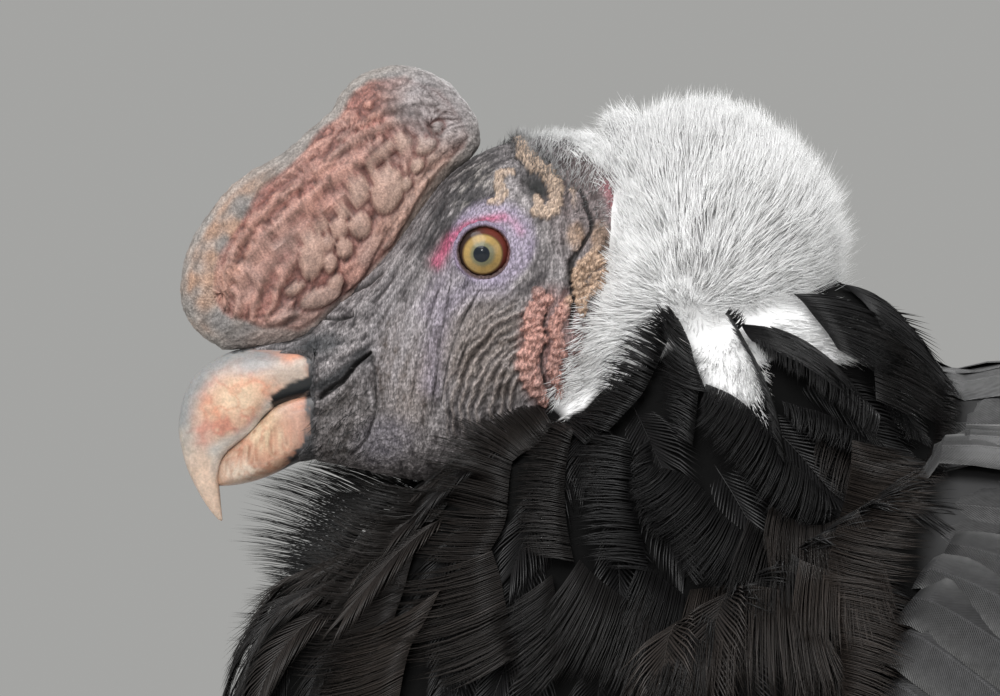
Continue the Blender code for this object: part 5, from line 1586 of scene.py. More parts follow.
def make_eyes():
    """Each eye with its iris and pupil, in a ring of lids."""
    made, nodes, links, shader = new_material(
        "eye", 0.2, 0.12, Coat_Weight=0.35, Coat_Roughness=0.02, Coat_IOR=1.45
    )
    colour, _ = speckle(nodes, links, tone_node(nodes), 2600, 0.88, 1.12, 3.0)
    links.new(colour, shader.inputs["Base Color"])
    lid = skin_material("lids", 0.45, 2200, 0.7, 1.1, 0.0002)
    for side, name in ((-1, "left"), (1, "right")):
        ring = np.concatenate([np.linspace(0, 0.75, 48), np.linspace(0.78, np.pi * 0.97, 10)])[:, None]
        turn = np.linspace(0, 2 * np.pi, 84, endpoint=False)
        r = np.sin(ring) * EYE_RADIUS
        bulge = 0.7 * (1 - smooth(0.0, 0.62, ring))
        f = -0.2 + r * np.cos(turn)
        v = 0.2 + r * np.sin(turn)
        s = side * (EYE_SIDE - 0.6 + np.cos(ring) * EYE_RADIUS + bulge) * np.ones(84)
        verts, faces = closed_grid(head_place(f, v, s))
        x, y = seen(verts)
        tone = eye_colours(x, y)
        eye = new_object(f"eye_{name}_ball", verts, faces, made, tone)
        place(eye, "eye", f"eye_{name}")
        # The lids: a ring whose section runs from the eye out to the skin.
        turn = np.linspace(0, 2 * np.pi, 160, endpoint=False)
        roll = np.linspace(-2.6, 1.9, 22)
        out = np.array([math.sin(a) for a in roll])
        reach = LID_OPENING * MM_PER_PIXEL + 0.75 + out * 0.85
        lift = np.array([math.cos(a) for a in roll]) * 0.75
        wob = 1 + 0.012 * np.sin(turn * 9) + 0.01 * np.sin(turn * 23 + 1)
        f = (EYE_AT[0] - EYE_PIXEL[0]) * MM_PER_PIXEL + reach[:, None] * np.cos(turn) * wob
        v = (EYE_AT[1] - EYE_PIXEL[1]) * MM_PER_PIXEL + reach[:, None] * np.sin(turn) * wob
        lean = 0.12 * np.cos(turn) * 3
        s = side * (29.3 + lift[:, None] - lean * 0.3)
        grid = head_place(f, v, s)
        verts, faces = grid.reshape(-1, 3), grid_faces(len(roll), 160, wrap=True)
        x, y = seen(verts)
        r = np.hypot(x - EYE_PIXEL[0], y - EYE_PIXEL[1])
        tone = mix((0.10, 0.06, 0.06), (0.30, 0.24, 0.34), smooth(LID_OPENING + 1, LID_OPENING + 4, r))
        red = spot(x, y, RED_CORNER, (20, 24), 0, 0.4)
        tone = mix(tone, (0.20, 0.045, 0.035), 0.6 * red * (1 - smooth(LID_OPENING, LID_OPENING + 3, r)))
        obj = new_object(f"lids_{name}", verts, faces, lid, tone)
        place(obj, "skin")


def eye_colours(x, y):
    """Ochre iris, greyer within, a slate pupil, and dark red-brown flesh round it."""
    r = np.hypot(x - IRIS_AT[0], y - IRIS_AT[1]) * MM_PER_PIXEL
    ray = np.arctan2(y - IRIS_AT[1], x - IRIS_AT[0])
    rays = noise(np.stack([np.cos(ray) * 9, np.sin(ray) * 9, r * 0.6], 1), 1.0, 97)
    ochre = mix((0.43, 0.28, 0.095), (0.31, 0.215, 0.085), 0.5 + 0.5 * rays)
    colours = mix(ochre, (0.17, 0.165, 0.10), 1 - smooth(2.9, 4.5, r))
    colours = mix(colours, (0.13, 0.075, 0.03), smooth(5.4, 6.0, r))
    pupil = np.hypot(x - PUPIL_AT[0], y - PUPIL_AT[1]) * MM_PER_PIXEL
    colours = mix(colours, (0.012, 0.016, 0.022), 1 - smooth(2.35, 2.65, pupil))
    red = spot(x, y, RED_CORNER, (22, 26), 0, 0.5)
    dark = mix((0.030, 0.018, 0.015), (0.12, 0.028, 0.020), red)
    return mix(colours, dark, smooth(6.0, 6.25, r))


# The vanes that the photo shows one by one, in pixels: the line its barbs grow from, the line their
# tips reach, lifts of the two lines in mm, the barbs' bend in pixels, their pitch in pixels, and how
# brown the vane is.
VANES = [
    ([(607, 432), (625, 413), (642, 394), (654, 371), (664, 349), (672, 330), (676, 318)],
     [(551, 419), (580, 405), (588, 379), (600, 354), (619, 329), (639, 316), (656, 298)],
     9, 11, 3, 3.6, 0.0),
    ([(707, 392), (700, 376), (694, 360), (689, 341), (678, 318)],
     [(652, 372), (656, 345), (659, 322), (657, 308), (655, 297)], 9, 12, -4, 2.6, 0.0),
    ([(699, 384), (697, 403), (695, 425), (692, 446)],
     [(653, 363), (653, 387), (655, 408), (659, 432)], 7, 8, 4, 3.4, 0.0),
    ([(706, 384), (730, 394), (752, 411), (771, 435), (790, 460), (811, 478), (830, 500)],
     [(687, 414), (693, 441), (710, 469), (735, 493), (762, 520), (791, 536), (821, 537)],
     7, 9, -5, 2.6, 0.0),
    ([(786, 466), (781, 432), (774, 404), (763, 376), (750, 350), (736, 326)],
     [(769, 443), (762, 408), (754, 376), (743, 349), (729, 328), (721, 308)], 9, 11, 2, 2.4, 0.0),
    ([(725, 314), (731, 320), (738, 330)], [(731, 304), (742, 308), (749, 318)], 10, 11, 1, 2.2, 0.0),
    ([(749, 332), (773, 334), (800, 346), (827, 366), (854, 388), (880, 415)],
     [(757, 355), (777, 373), (801, 388), (824, 405), (848, 427), (868, 452)], 9, 11, -3, 2.7, 0.0),
    ([(782, 401), (806, 408), (830, 416), (857, 432), (880, 450), (899, 470)],
     [(782, 427), (801, 441), (825, 452), (848, 461), (868, 474), (890, 490)], 5, 7, -3, 2.7, 0.0),
    ([(741, 324), (744, 330), (748, 336), (752, 341)],
     [(822, 360), (842, 382), (856, 400), (868, 420)], 11, 12, -10, 1.3, 0.0),
    ([(770, 326), (778, 333), (784, 340)], [(842, 370), (862, 392), (878, 420)], 10, 11, -6, 1.6, 0.0),
    ([(794, 294), (803, 302), (814, 316), (827, 332), (838, 349)],
     [(872, 308), (899, 327), (915, 352), (912, 378), (892, 394)], 9, 11, -5, 1.8, 0.0),
    ([(838, 283), (852, 292), (866, 305), (880, 325), (886, 345)],
     [(903, 313), (925, 341), (947, 373), (962, 400), (958, 425)], 7, 10, -6, 1.8, 0.0),
    ([(846, 318), (858, 330), (868, 350), (874, 372), (876, 400)],
     [(915, 352), (935, 372), (954, 392), (960, 420), (952, 448)], 7, 11, -5, 2.0, 0.1),
    ([(650, 466), (679, 472), (703, 489), (722, 513), (738, 527), (752, 540)],
     [(620, 478), (625, 508), (643, 541), (667, 574), (692, 601), (717, 626)], 6, 9, -6, 2.6, 0.0),
    ([(748, 520), (765, 532), (779, 542), (790, 552), (800, 560)],
     [(714, 624), (738, 630), (765, 628), (789, 619), (806, 606)], 6, 9, 2, 2.4, 0.1),
    ([(574, 430), (568, 452), (565, 478), (565, 505), (568, 532), (574, 562)],
     [(537, 416), (515, 448), (507, 478), (504, 505), (504, 532), (510, 560)], 5, 8, 4, 2.6, 0.2),
    ([(630, 441), (633, 465), (635, 492), (638, 519), (644, 546), (650, 572)],
     [(567, 430), (560, 462), (558, 492), (562, 522), (571, 549), (584, 573)], 4, 7, 4, 2.8, 0.0),
    ([(585, 445), (600, 434), (618, 422)], [(552, 422), (568, 411), (588, 407)], 4, 6, 2, 2.6, 0.0),
    ([(552, 424), (545, 436), (535, 446), (523, 453), (513, 461)],
     [(508, 372), (482, 373), (457, 385), (441, 405), (430, 430)], 5, 8, 4, 2.0, 0.35),
    ([(514, 452), (510, 475), (508, 495), (506, 518)],
     [(432, 422), (413, 451), (407, 475), (407, 502)], 4, 7, 3, 2.3, 0.3),
    ([(508, 510), (503, 528), (494, 544), (484, 560)],
     [(411, 500), (404, 520), (398, 538), (392, 556)], 4, 7, -4, 2.4, 0.35),
    ([(455, 488), (445, 508), (432, 522)], [(362, 476), (340, 487), (316, 508)], 3, 6, -6, 2.0, 0.2),
    ([(425, 512), (418, 540), (410, 566), (403, 592), (394, 618), (384, 644), (374, 674)],
     [(338, 488), (312, 514), (299, 558), (288, 600), (283, 641), (280, 680), (279, 715)],
     5, 8, -15, 2.1, 0.35),
    ([(440, 590), (425, 621), (411, 646), (404, 671), (398, 705)],
     [(330, 636), (316, 655), (305, 676), (296, 701), (290, 726)], 7, 9, -9, 2.1, 0.75),
    ([(492, 551), (500, 576), (505, 601), (510, 626), (517, 654)],
     [(380, 572), (366, 602), (372, 636), (390, 668), (414, 700)], 6, 9, -8, 2.3, 0.4),
    ([(552, 575), (557, 603), (562, 628), (570, 655)],
     [(476, 618), (482, 652), (497, 686), (520, 714)], 6, 9, -4, 2.5, 0.15),
    ([(765, 520), (790, 532), (815, 535), (840, 528), (858, 510)],
     [(780, 625), (812, 632), (848, 628), (880, 612), (905, 585)], 5, 8, 3, 2.0, 0.6),
    ([(905, 370), (925, 392), (935, 420), (930, 450), (915, 478)],
     [(950, 366), (965, 396), (963, 430), (954, 462), (942, 494)], 8, 12, -4, 2.0, 0.15),
    ([(852, 440), (850, 475), (842, 510), (832, 545), (826, 580)],
     [(948, 452), (946, 490), (937, 525), (930, 560), (924, 602)], 8, 12, 4, 1.9, 0.7),
    ([(822, 575), (830, 605), (838, 635), (842, 665), (842, 705)],
     [(926, 592), (921, 630), (916, 660), (909, 690), (902, 735)], 8, 12, -3, 1.9, 0.8),
    ([(770, 505), (795, 520), (820, 525), (845, 515)], [(762, 572), (795, 592), (828, 590), (858, 568)],
     7, 9, 3, 2.1, 0.4),
    ([(800, 560), (830, 570), (860, 572), (884, 560)], [(792, 650), (832, 668), (874, 662), (912, 636)],
     8, 11, 3, 2.0, 0.8),
    ([(690, 590), (730, 585), (770, 588), (805, 600), (822, 625)],
     [(668, 700), (720, 716), (775, 720), (830, 716), (870, 700)], 6, 9, 3, 2.1, 0.6),
    ([(640, 590), (665, 610), (690, 630), (705, 655)],
     [(585, 690), (620, 712), (660, 724), (700, 728)], 5, 8, -4, 2.2, 0.2),
    ([(790, 640), (825, 652), (860, 655)], [(780, 735), (832, 742), (890, 735)], 3, 6, 2, 2.1, 0.5),
    ([(580, 560), (600, 580), (628, 600), (660, 618), (700, 640)],
     [(508, 645), (545, 684), (585, 712), (628, 727), (676, 736)], 6, 9, -4, 2.5, 0.1),
    ([(640, 560), (665, 580), (690, 600), (715, 622)],
     [(600, 640), (632, 668), (668, 690), (700, 700)], 4, 7, -3, 2.4, 0.0),
    ([(650, 440), (655, 470), (664, 500), (676, 530)],
     [(628, 462), (624, 492), (634, 524), (650, 552)], 3, 5, 3, 2.6, 0.0),
    ([(820, 430), (845, 446), (868, 462), (886, 480)],
     [(812, 478), (832, 500), (858, 512), (882, 516)], 3, 5, 2, 2.4, 0.3),
]
# Vanes on the far side that stand out past the breast, in the same terms, but with the depths of
# their two lines in mm.
FAR_VANES = [
    ([(452, 482), (415, 492), (382, 502), (360, 520), (346, 548), (340, 575), (340, 600)],
     [(352, 463), (318, 461), (285, 463), (252, 478), (233, 515), (231, 555), (246, 590)],
     20, 26, 6, 2.0, 0.0),
    ([(352, 556), (346, 575), (335, 596), (322, 618), (310, 645), (302, 676), (300, 712)],
     [(322, 545), (292, 551), (260, 567), (240, 594), (229, 630), (227, 670), (232, 714)],
     22, 28, 6, 2.0, 0.1),
    ([(400, 500), (372, 520), (352, 545), (338, 575), (330, 620), (326, 670), (326, 710)],
     [(330, 488), (298, 502), (276, 540), (268, 575), (264, 620), (262, 670), (266, 710)],
     8, 14, 4, 2.2, 0.0),
]
# The cape's right edge: y and x in pixels.
CAPE_EDGE = [(350, 925), (404, 958), (458, 946), (533, 932), (612, 921), (700, 905)]
# Where vanes cover the fill, in pixels.
COVERED = [
    (300, 500), (420, 440), (560, 425), (640, 360), (700, 350), (900, 330), (950, 400), (935, 560),
    (900, 696), (600, 760), (300, 760), (285, 620),
]
BLACK = (0.0078, 0.0076, 0.0080)
BROWN = (0.038, 0.030, 0.0255)
# A vane's grid along and across it, and how much closer its barbs stand than its pitch says.
VANE_ROWS = 30
VANE_PLACES = 5
PITCH_SCALE = 0.76
# The feathers under the vanes: how many places are tried, the distance between them and their
# length in metres, their half width in mm, their barbs' distance in metres, the barbs' turn from
# the shaft at root and tip in degrees, their steps and how much they droop.
CAPE_PLACES = 12000
CAPE_SPACING = 0.0150
CAPE_LENGTH = 0.044
CAPE_HALF = 14
BARB_PITCH = 0.00155
BARB_TURNS = (46, 18)
BARB_STEPS = 2
BARB_DROOP = 0.10


def barbs(rng, shaft, normals, half, tone, lists):
    """Adds a feather's barbs and shaft to lists. shaft and normals are given at even places, and
    half is the feather's half width in mm."""
    reach = np.concatenate([[0], np.cumsum(np.linalg.norm(np.diff(shaft, axis=0), axis=1))])
    length = reach[-1]

    def read(values, places):
        return np.stack([np.interp(places, reach, values[:, k]) for k in range(3)], 1)

    n = max(int(length / BARB_PITCH), 8)
    s = np.linspace(0.05, 1.0, n)
    at = s * length
    root, normal = read(shaft, at), unit(read(normals, at))
    tangent = unit(read(shaft, at + 0.004) - read(shaft, at - 0.004))
    across = unit(np.cross(tangent, normal))
    out = np.cross(across, tangent)
    wave = np.cumsum(rng.normal(size=n)) * 0.018
    for side in (-1, 1):
        turn = np.radians(BARB_TURNS[0] + (BARB_TURNS[1] - BARB_TURNS[0]) * s**1.3)
        turn = turn + side * (wave - wave.mean())
        clump = np.sin(s * length / 0.0042 + rng.uniform(0, 6)) * rng.uniform(0.02, 0.05)
        turn = turn + clump + rng.normal(size=n) * 0.018
        grow = np.minimum(1.0, 0.45 + 0.55 * s / 0.3) * (1 - 0.30 * s**4)
        spread = half * MM * grow * (1 + 0.045 * rng.normal(size=n)) / np.maximum(np.sin(turn), 0.62)
        line = [root]
        for k in range(BARB_STEPS):
            bent = turn * (1 - 0.45 * k / BARB_STEPS)
            step = tangent * np.cos(bent)[:, None] + across * (side * np.sin(bent))[:, None]
            sink = BARB_DROOP * spread * (0.3 + 3 * k / BARB_STEPS) / BARB_STEPS
            line.append(line[-1] + step * (spread / BARB_STEPS)[:, None] - out * sink[:, None])
        centres = np.stack(line, 1)
        blade_across = unit(np.cross(centres[:, 1] - centres[:, 0], out))
        wide = BARB_PITCH * 0.42 * np.linspace(1.0, 0.62, BARB_STEPS) * rng.uniform(0.8, 1.1, (n, 1))
        thick = np.tile(np.linspace(0.20, 0.14, BARB_STEPS), (n, 1)) * MM
        # Each barb's tone varies at random; its root is painted darker and its tip lighter, as painted
        # shade and highlight.
        shade = np.asarray(tone) * (1 + 0.22 * rng.normal(size=(n, 1))).clip(0.5, 1.7)
        lists["barbs"].append((
            centres, np.repeat(blade_across[:, None], BARB_STEPS, 1),
            np.repeat(out[:, None], BARB_STEPS, 1), wide, thick, shade * 0.85, shade * 1.25,
        ))
    keep = np.linspace(0, n - 1, 8).astype(int)
    stem = root[keep] + out[keep] * 0.00015
    thin = np.linspace(0.30, 0.10, 7) * MM
    lists["stems"].append((
        stem[None], across[keep][None, :7], out[keep][None, :7], thin[None], thin[None],
        np.asarray(tone)[None], np.asarray(tone)[None],
    ))


def gathered(rows):
    """Blade data from many feathers, joined."""
    return tuple(np.concatenate([row[k] for row in rows]) for k in range(7))


def mirror_rows(rows):
    """The same blades on the bird's other side."""
    return [(c * MIRROR, a * MIRROR, o * MIRROR, w, t, r, p) for c, a, o, w, t, r, p in rows]


def camera_ray(x, y):
    """Where the camera stands, and the way it looks at a pixel."""
    start = Vector((CAM_X, -CAM_DISTANCE, CAM_Z))
    return start, (Vector(behind(x, y, 0.0)) - start).normalized()


def vane_grid(tree, inner, outer, lifts, bend, depths=None):
    """A vane as rows of places: along it, from its barbs' roots to their tips."""
    at = np.linspace(0, len(inner) - 1, VANE_ROWS)
    a, b = spline(inner, at), spline(outer, at)
    step = b - a
    turn = np.stack([-step[:, 1], step[:, 0]], 1) / np.linalg.norm(step, axis=1, keepdims=True)
    share = np.linspace(0, 1, VANE_PLACES)
    arch = 4 * share * (1 - share)
    pixel = a[:, None] + step[:, None] * share[:, None] + turn[:, None] * (bend * arch)[:, None]
    side = np.empty(pixel.shape[:2])
    out = np.empty(pixel.shape[:2] + (3,))
    if depths:
        side[:] = depths[0] * MM + (depths[1] - depths[0]) * MM * share
        out[:] = (0, -1, 0)
    else:
        last, depth = Vector((0, -1, 0)), -0.03
        for i in range(VANE_ROWS):
            for j in range(VANE_PLACES):
                start, ray = camera_ray(*pixel[i, j])
                hit, normal, _, _ = tree.ray_cast(start, ray)
                if hit is not None:
                    depth, last = hit.y, normal if normal.y < 0 else -normal
                side[i, j] = min(depth, -0.003)
                out[i, j] = last
        for _ in range(3):
            side[1:-1] = (side[:-2] + 2 * side[1:-1] + side[2:]) / 4
            side[:, 1:-1] = (side[:, :-2] + 2 * side[:, 1:-1] + side[:, 2:]) / 4
            out[1:-1] = (out[:-2] + 2 * out[1:-1] + out[2:]) / 4
    out = unit(out + np.array((0, -0.9, 0)))
    lift = lifts[0] + (lifts[1] - lifts[0]) * share + 1.6 * arch
    return pixel, side, out, lift


def ribbon(rng, grid, pitch, tone, rows, layers=4, far=False):
    """Layers of barbs over a vane's grid, added to rows."""
    pixel, side, out, lift = grid
    pitch = pitch * PITCH_SCALE
    middle = pixel[:, VANE_PLACES // 2]
    length = np.linalg.norm(np.diff(middle, axis=0), axis=1).sum()
    edge = np.linalg.norm(np.diff(pixel[:, -1], axis=0), axis=1).sum()
    count = max(int(max(length, edge * 0.8) / pitch), 6)
    share = np.linspace(0, 1, VANE_PLACES)
    whole = np.concatenate([pixel, side[..., None], out], -1)
    for layer in range(layers):
        s = (np.arange(count) + 0.5 + 0.3 * rng.normal(size=count)) / count
        phase = rng.uniform(0, 6)
        # Barbs draw together into locks of uneven size towards their tips.
        size = rng.uniform(6.0, 11.0)
        lock = s * count / size + 0.7 * np.sin(s * 13 + phase) + 0.3 * np.sin(s * 41 + 2 * phase)
        pull = 0.35 + 0.45 * np.abs(np.sin(np.floor(lock) * 2.4 + phase))
        drift = (np.floor(lock) + 0.5 - lock) * size * pull / count
        drift = drift + 0.8 * rng.normal(size=count) / count
        reach = 1 - 0.06 * layer - np.abs(rng.normal(size=count)) * 0.085
        reach *= 1 - 0.07 * np.sin(np.floor(lock) * 5.1 + phase)
        reach *= 0.66 + 0.34 * smooth(0, 0.12, s) * (1 - smooth(0.86, 1, s))
        columns = []
        for u in share:
            wave = 0.35 * np.sin(3.1 * u + phase + s * 30) * u / count
            along = np.clip(s + drift * u**1.5 + wave, 0, 1) * (VANE_ROWS - 1)
            near = u * reach * (VANE_PLACES - 1)
            j = np.minimum(near.astype(int), VANE_PLACES - 2)
            t = (near - j)[:, None]
            low = np.stack([spline(whole[:, c], along) for c in range(VANE_PLACES)], 1)
            row = np.arange(count)
            at = low[row, j] * (1 - t) + low[row, j + 1] * t
            rise = np.interp(u * reach, share, lift) - 1.2 * layer + 0.35 * u * rng.normal(size=count)
            place_side = at[:, 2] - (0 if far else 1) * rise * MM
            columns.append((behind(at[:, 0], at[:, 1], place_side), unit(at[:, 3:6])))
        centres = np.stack([c[0] for c in columns], 1)
        normals = np.stack([c[1] for c in columns], 1)[:, :-1]
        ahead = unit(centres[:, 1:] - centres[:, :-1])
        across = unit(np.cross(ahead, normals))
        half = pitch * PIXEL * 0.31
        profile = np.array([1.0, 0.92, 0.74, 0.44])
        wide = half * profile * rng.uniform(0.75, 1.15, (count, 1))
        # Lower layers painted darker as painted shade, and each barb lighter at its tip than its root as
        # a painted highlight.
        shade = tone * (1 + 0.25 * rng.normal(size=(count, 1))).clip(0.5, 1.7) * (1 - 0.17 * layer)
        thick = np.full_like(wide, 0.15 * MM)
        rows.append((centres, across, normals, wide, thick, shade * 0.85, shade * 1.35))


# Where the neck's feathers radiate from, in pixels.
FEATHER_HUB = (600, 372)


def lie_of(points):
    """The way feathers point, before they are laid on the surface: out from the head on the neck,
    then back along the body."""
    spread = points - behind(*FEATHER_HUB, 0.0)
    spread[:, 1] *= 0.3
    spread = unit(spread)
    spread[:, 2] -= 0.35
    back = np.array((math.cos(BODY_PITCH), 0, -math.sin(BODY_PITCH)))
    share = smooth(-0.26, -0.10, points[:, 0])[:, None]
    return unit(spread * (1 - share) + back * share)


def thinned(points, least):
    """The indexes of points kept so that no two are nearer than a distance."""
    kept = []
    cell = {}
    keys = np.floor(points / least).astype(int)
    for i, (p, key) in enumerate(zip(points, keys)):
        near = []
        for dx in (-1, 0, 1):
            for dy in (-1, 0, 1):
                for dz in (-1, 0, 1):
                    near += cell.get((key[0] + dx, key[1] + dy, key[2] + dz), ())
        if all(np.sum((points[j] - p) ** 2) > least * least for j in near):
            kept.append(i)
            cell.setdefault(tuple(key), []).append(i)
    return np.array(kept)


def surface_scatter(rng, verts, faces, count):
    """Random places on a surface, with its smooth normals."""
    a, b, c = (verts[faces[:, k]] for k in range(3))
    cross = np.cross(b - a, c - a)
    area = np.linalg.norm(cross, axis=1)
    point_normals = np.zeros_like(verts)
    for k in range(3):
        np.add.at(point_normals, faces[:, k], cross)
    point_normals = unit(point_normals)
    pick = rng.choice(len(faces), size=count, p=area / area.sum())
    u, v = rng.random(count), rng.random(count)
    over = u + v > 1
    u, v = np.where(over, 1 - u, u), np.where(over, 1 - v, v)
    w = np.stack([1 - u - v, u, v], 1)
    corners = faces[pick]
    place = np.einsum("nk,nkd->nd", w, verts[corners])
    normal = unit(np.einsum("nk,nkd->nd", w, point_normals[corners]))
    return place, normal


def laid(tree, root, ahead, length, lifts, steps):
    """A line over a surface from a root, and the normals under it. lifts are at even places."""
    at, way = Vector(root), Vector(ahead)
    line, normals = [], []
    step = length / (steps - 1)
    for k in range(steps):
        near, normal, _, _ = tree.find_nearest(at)
        way = (way - normal * way.dot(normal)).normalized()
        line.append(near + normal * lifts[k])
        normals.append(normal)
        at = near + way * step
    return np.array(line), np.array(normals)


def past_cape(points):
    """How many pixels points lie behind the cape's edge, as seen from their own side."""
    x, y = seen(points)
    return x - looked_up(CAPE_EDGE, y)


def make_cape(core, core_faces, core_tree):
    """The black cape: the photo's own vanes on both sides, over a coat of others."""
    rng = np.random.default_rng(21)
    rows = []
    for inner, outer, low, high, bend, pitch, brown in VANES:
        tone = blend(BLACK, BROWN, brown)
        ribbon(rng, vane_grid(core_tree, inner, outer, (low, high), bend), pitch, tone, rows)
    rows += mirror_rows(rows)
    for inner, outer, low, high, bend, pitch, brown in FAR_VANES:
        tone = blend(BLACK, BROWN, brown)
        grid = vane_grid(core_tree, inner, outer, (0, 0), bend, (low, high))
        ribbon(rng, grid, pitch, tone, rows, 3, True)
    lists = {"barbs": [], "stems": []}
    points, normals = surface_scatter(rng, core, core_faces, CAPE_PLACES)
    x, y = seen(points)
    keep = (points[:, 0] < -0.130) & (ruff_depth(points) > 2.0) & (points[:, 2] > 0.36)
    keep &= ~inside_outline(x, y, WHITE_BELOW) & (past_cape(points) < -4)
    points, normals = points[keep], normals[keep]
    kept = thinned(points, CAPE_SPACING)
    points, normals = points[kept], normals[kept]
    lie = flattened(lie_of(points), normals)
    t = np.linspace(0, 1, 10)
    for p, n, d in zip(points, normals, lie):
        size = rng.uniform(0.85, 1.15)
        px, py = seen(p[None])
        covered = inside_outline(px, py, COVERED)[0] and abs(n[1]) > 0.35
        rise = 1.2 if covered else 4.5
        lifts = (-1.0 + rise * np.sin(np.pi * 0.62 * t) + rng.uniform(0, 0.8)) * MM
        way = unit(d + 0.10 * rng.normal(size=3))
        shaft, out = laid(core_tree, p, way, CAPE_LENGTH * size, lifts, len(t))
        if inside_outline(*seen(shaft), WHITE_BELOW).any() or past_cape(shaft[-1:])[0] > 6:
            continue
        brown = 0.0 if covered else np.clip(0.2 + 0.25 * rng.normal(), 0, 0.7)
        tone = blend(BLACK, BROWN, brown)
        barbs(rng, shaft, out, CAPE_HALF * size, tone, lists)
    plume = feather_material("cape", 0.42, 0.32, 0.8, 1.25, 1200)
    blade_pieces("cape", "black_feathers", plume, gathered(rows))
    blade_pieces("cape_under", "black_feathers", plume, gathered(lists["barbs"]))
    blade_pieces("cape_shafts", "black_feathers", plume, gathered(lists["stems"]))


# Broad feathers: thin closed sheets whose barbs are drawn by their finish.
def sheet_faces(rows, cols):
    """The triangles of one thin closed sheet: its top, its underside and its rim."""
    size = rows * cols
    top = grid_faces(rows, cols)
    rim = np.concatenate([
        np.arange(cols), np.arange(1, rows) * cols + cols - 1,
        (rows - 1) * cols + np.arange(cols - 2, -1, -1), np.arange(rows - 2, 0, -1) * cols,
    ])
    after = np.roll(rim, -1)
    return np.concatenate([
        top, top[:, ::-1] + size, np.stack([rim, rim + size, after], 1),
        np.stack([after, rim + size, after + size], 1),
    ])


def sheets(name, slot, material, lines, outs, half, tones, roots, nodes=(), thick=0.32, camber=0.10,
           cols=5, tip_tones=None, edge_tones=None):
    """Joined thin feathers. lines and outs are feathers x rows x 3, half is feathers x rows in
    metres, and tones are feathers x 3. Carries each point's place on its feather as an attribute:
    across from -1 to 1, along from 0 to 1, and the distance along the barb's lie in mm."""
    count, rows = half.shape
    ahead = np.gradient(lines, axis=1)
    across = unit(np.cross(ahead, outs))
    u = np.linspace(-1, 1, cols)
    flat = lines[:, :, None] + across[:, :, None] * (half[..., None] * u)[..., None]
    flat = flat - outs[:, :, None] * (camber * half[..., None] * u * u)[..., None]
    thin = thick * MM * (1 - 0.75 * u * u)
    v = np.linspace(0, 1, rows)
    top = flat + outs[:, :, None] * (thin / 2)[None, None, :, None]
    low = flat - outs[:, :, None] * (thin / 2)[None, None, :, None]
    verts = np.concatenate([top.reshape(count, -1, 3), low.reshape(count, -1, 3)], 1)
    one = sheet_faces(rows, cols)
    length = np.linalg.norm(np.diff(lines, axis=1), axis=2).sum(1)
    mark = np.zeros((count, 2, rows, cols, 3), np.float32)
    mark[..., 0] = u
    mark[..., 1] = v[:, None]
    mark[..., 2] = (
        length[:, None, None, None] * v[:, None] - np.abs(u) * half[:, None, :, None] * 1.3
    ) / MM
    share = (v**1.5)[None, None, :, None, None]
    tip = tones if tip_tones is None else tip_tones
    tone = blend(tones[:, None, None, None], tip[:, None, None, None], share)
    tone = np.broadcast_to(tone, (count, 2, rows, cols, 3)).copy()
    if edge_tones is not None:
        near = (np.abs(u) ** 4)[None, None, None, :, None]
        tone = blend(tone, edge_tones[:, None, None, None], near)
    base = skin_map(roots)
    offset = np.zeros((2, rows, cols, 2))
    offset[..., 0] = u * 0.0013
    offset[..., 1] = (v[:, None] - 0.5) * PATCH_LENGTH
    for n, s in enumerate(batches(count, len(one))):
        starts = np.arange(len(verts[s])) * verts.shape[1]
        tris = (one[None] + starts[:, None, None]).reshape(-1, 3)
        obj = new_object(f"{name}_{n + 1}", verts[s].reshape(-1, 3), tris, material,
                         tone[s].reshape(-1, 3), patches(base[s], offset.reshape(-1, 2)))
        layer = obj.data.attributes.new("vane", "FLOAT_VECTOR", "POINT")
        layer.data.foreach_set("vector", mark[s].ravel())
        place(obj, slot, *(nodes if n == 0 else ()))


def vane_material(name, roughness, specular, pitch, shaft=1.6, edge=1.0):
    """Feathers with fine barbs at a pitch in mm, a shaft, and an edge of another brightness."""
    made, nodes, links, shader = new_material(name, roughness, specular)
    mark = nodes.new("ShaderNodeAttribute")
    mark.attribute_name = "vane"
    split = nodes.new("ShaderNodeSeparateXYZ")
    links.new(mark.outputs["Vector"], split.inputs[0])
    turns = math_node(nodes, links, "MULTIPLY", split.outputs[2], 2 * math.pi / pitch)
    wave = math_node(nodes, links, "SINE", turns)
    offset = math_node(nodes, links, "ABSOLUTE", split.outputs[0])
    shaft_share = ranged(nodes, links, offset, 0.02, 0.06, shaft, 1.0)
    edge_share = ranged(nodes, links, offset, 0.80, 1.0, 1.0, edge)
    barb_share = ranged(nodes, links, wave, -0.6, 1.0, 0.62, 1.18)
    strength = math_node(nodes, links, "MULTIPLY", barb_share, shaft_share)
    strength = math_node(nodes, links, "MULTIPLY", strength, edge_share)
    colour, _ = speckle(nodes, links, tone_node(nodes), 420, 0.78, 1.22)
    links.new(scaled(nodes, links, colour, strength), shader.inputs["Base Color"])
    ridge = math_node(nodes, links, "MULTIPLY", ranged(nodes, links, offset, 0.02, 0.06, 1.0, 0.0), 3.0)
    bump(nodes, links, shader, math_node(nodes, links, "ADD", wave, ridge), 0.5, 0.00022)
    return made


# Outlines of feathers: places from root to tip, and half widths as shares of the widest.
FEATHER_SHAPE = [
    (0.0, 0.50), (0.15, 0.80), (0.40, 1.0), (0.72, 0.96), (0.88, 0.78), (0.96, 0.48), (1.0, 0.10),
]
ROUND_SHAPE = [
    (0.0, 0.40), (0.25, 0.80), (0.55, 1.0), (0.78, 0.94), (0.91, 0.68), (0.98, 0.34), (1.0, 0.06),
]


def shape_widths(shape, rows):
    """A feather's half widths at even places, as shares of its widest."""
    return looked_up(shape, np.linspace(0, 1, rows))


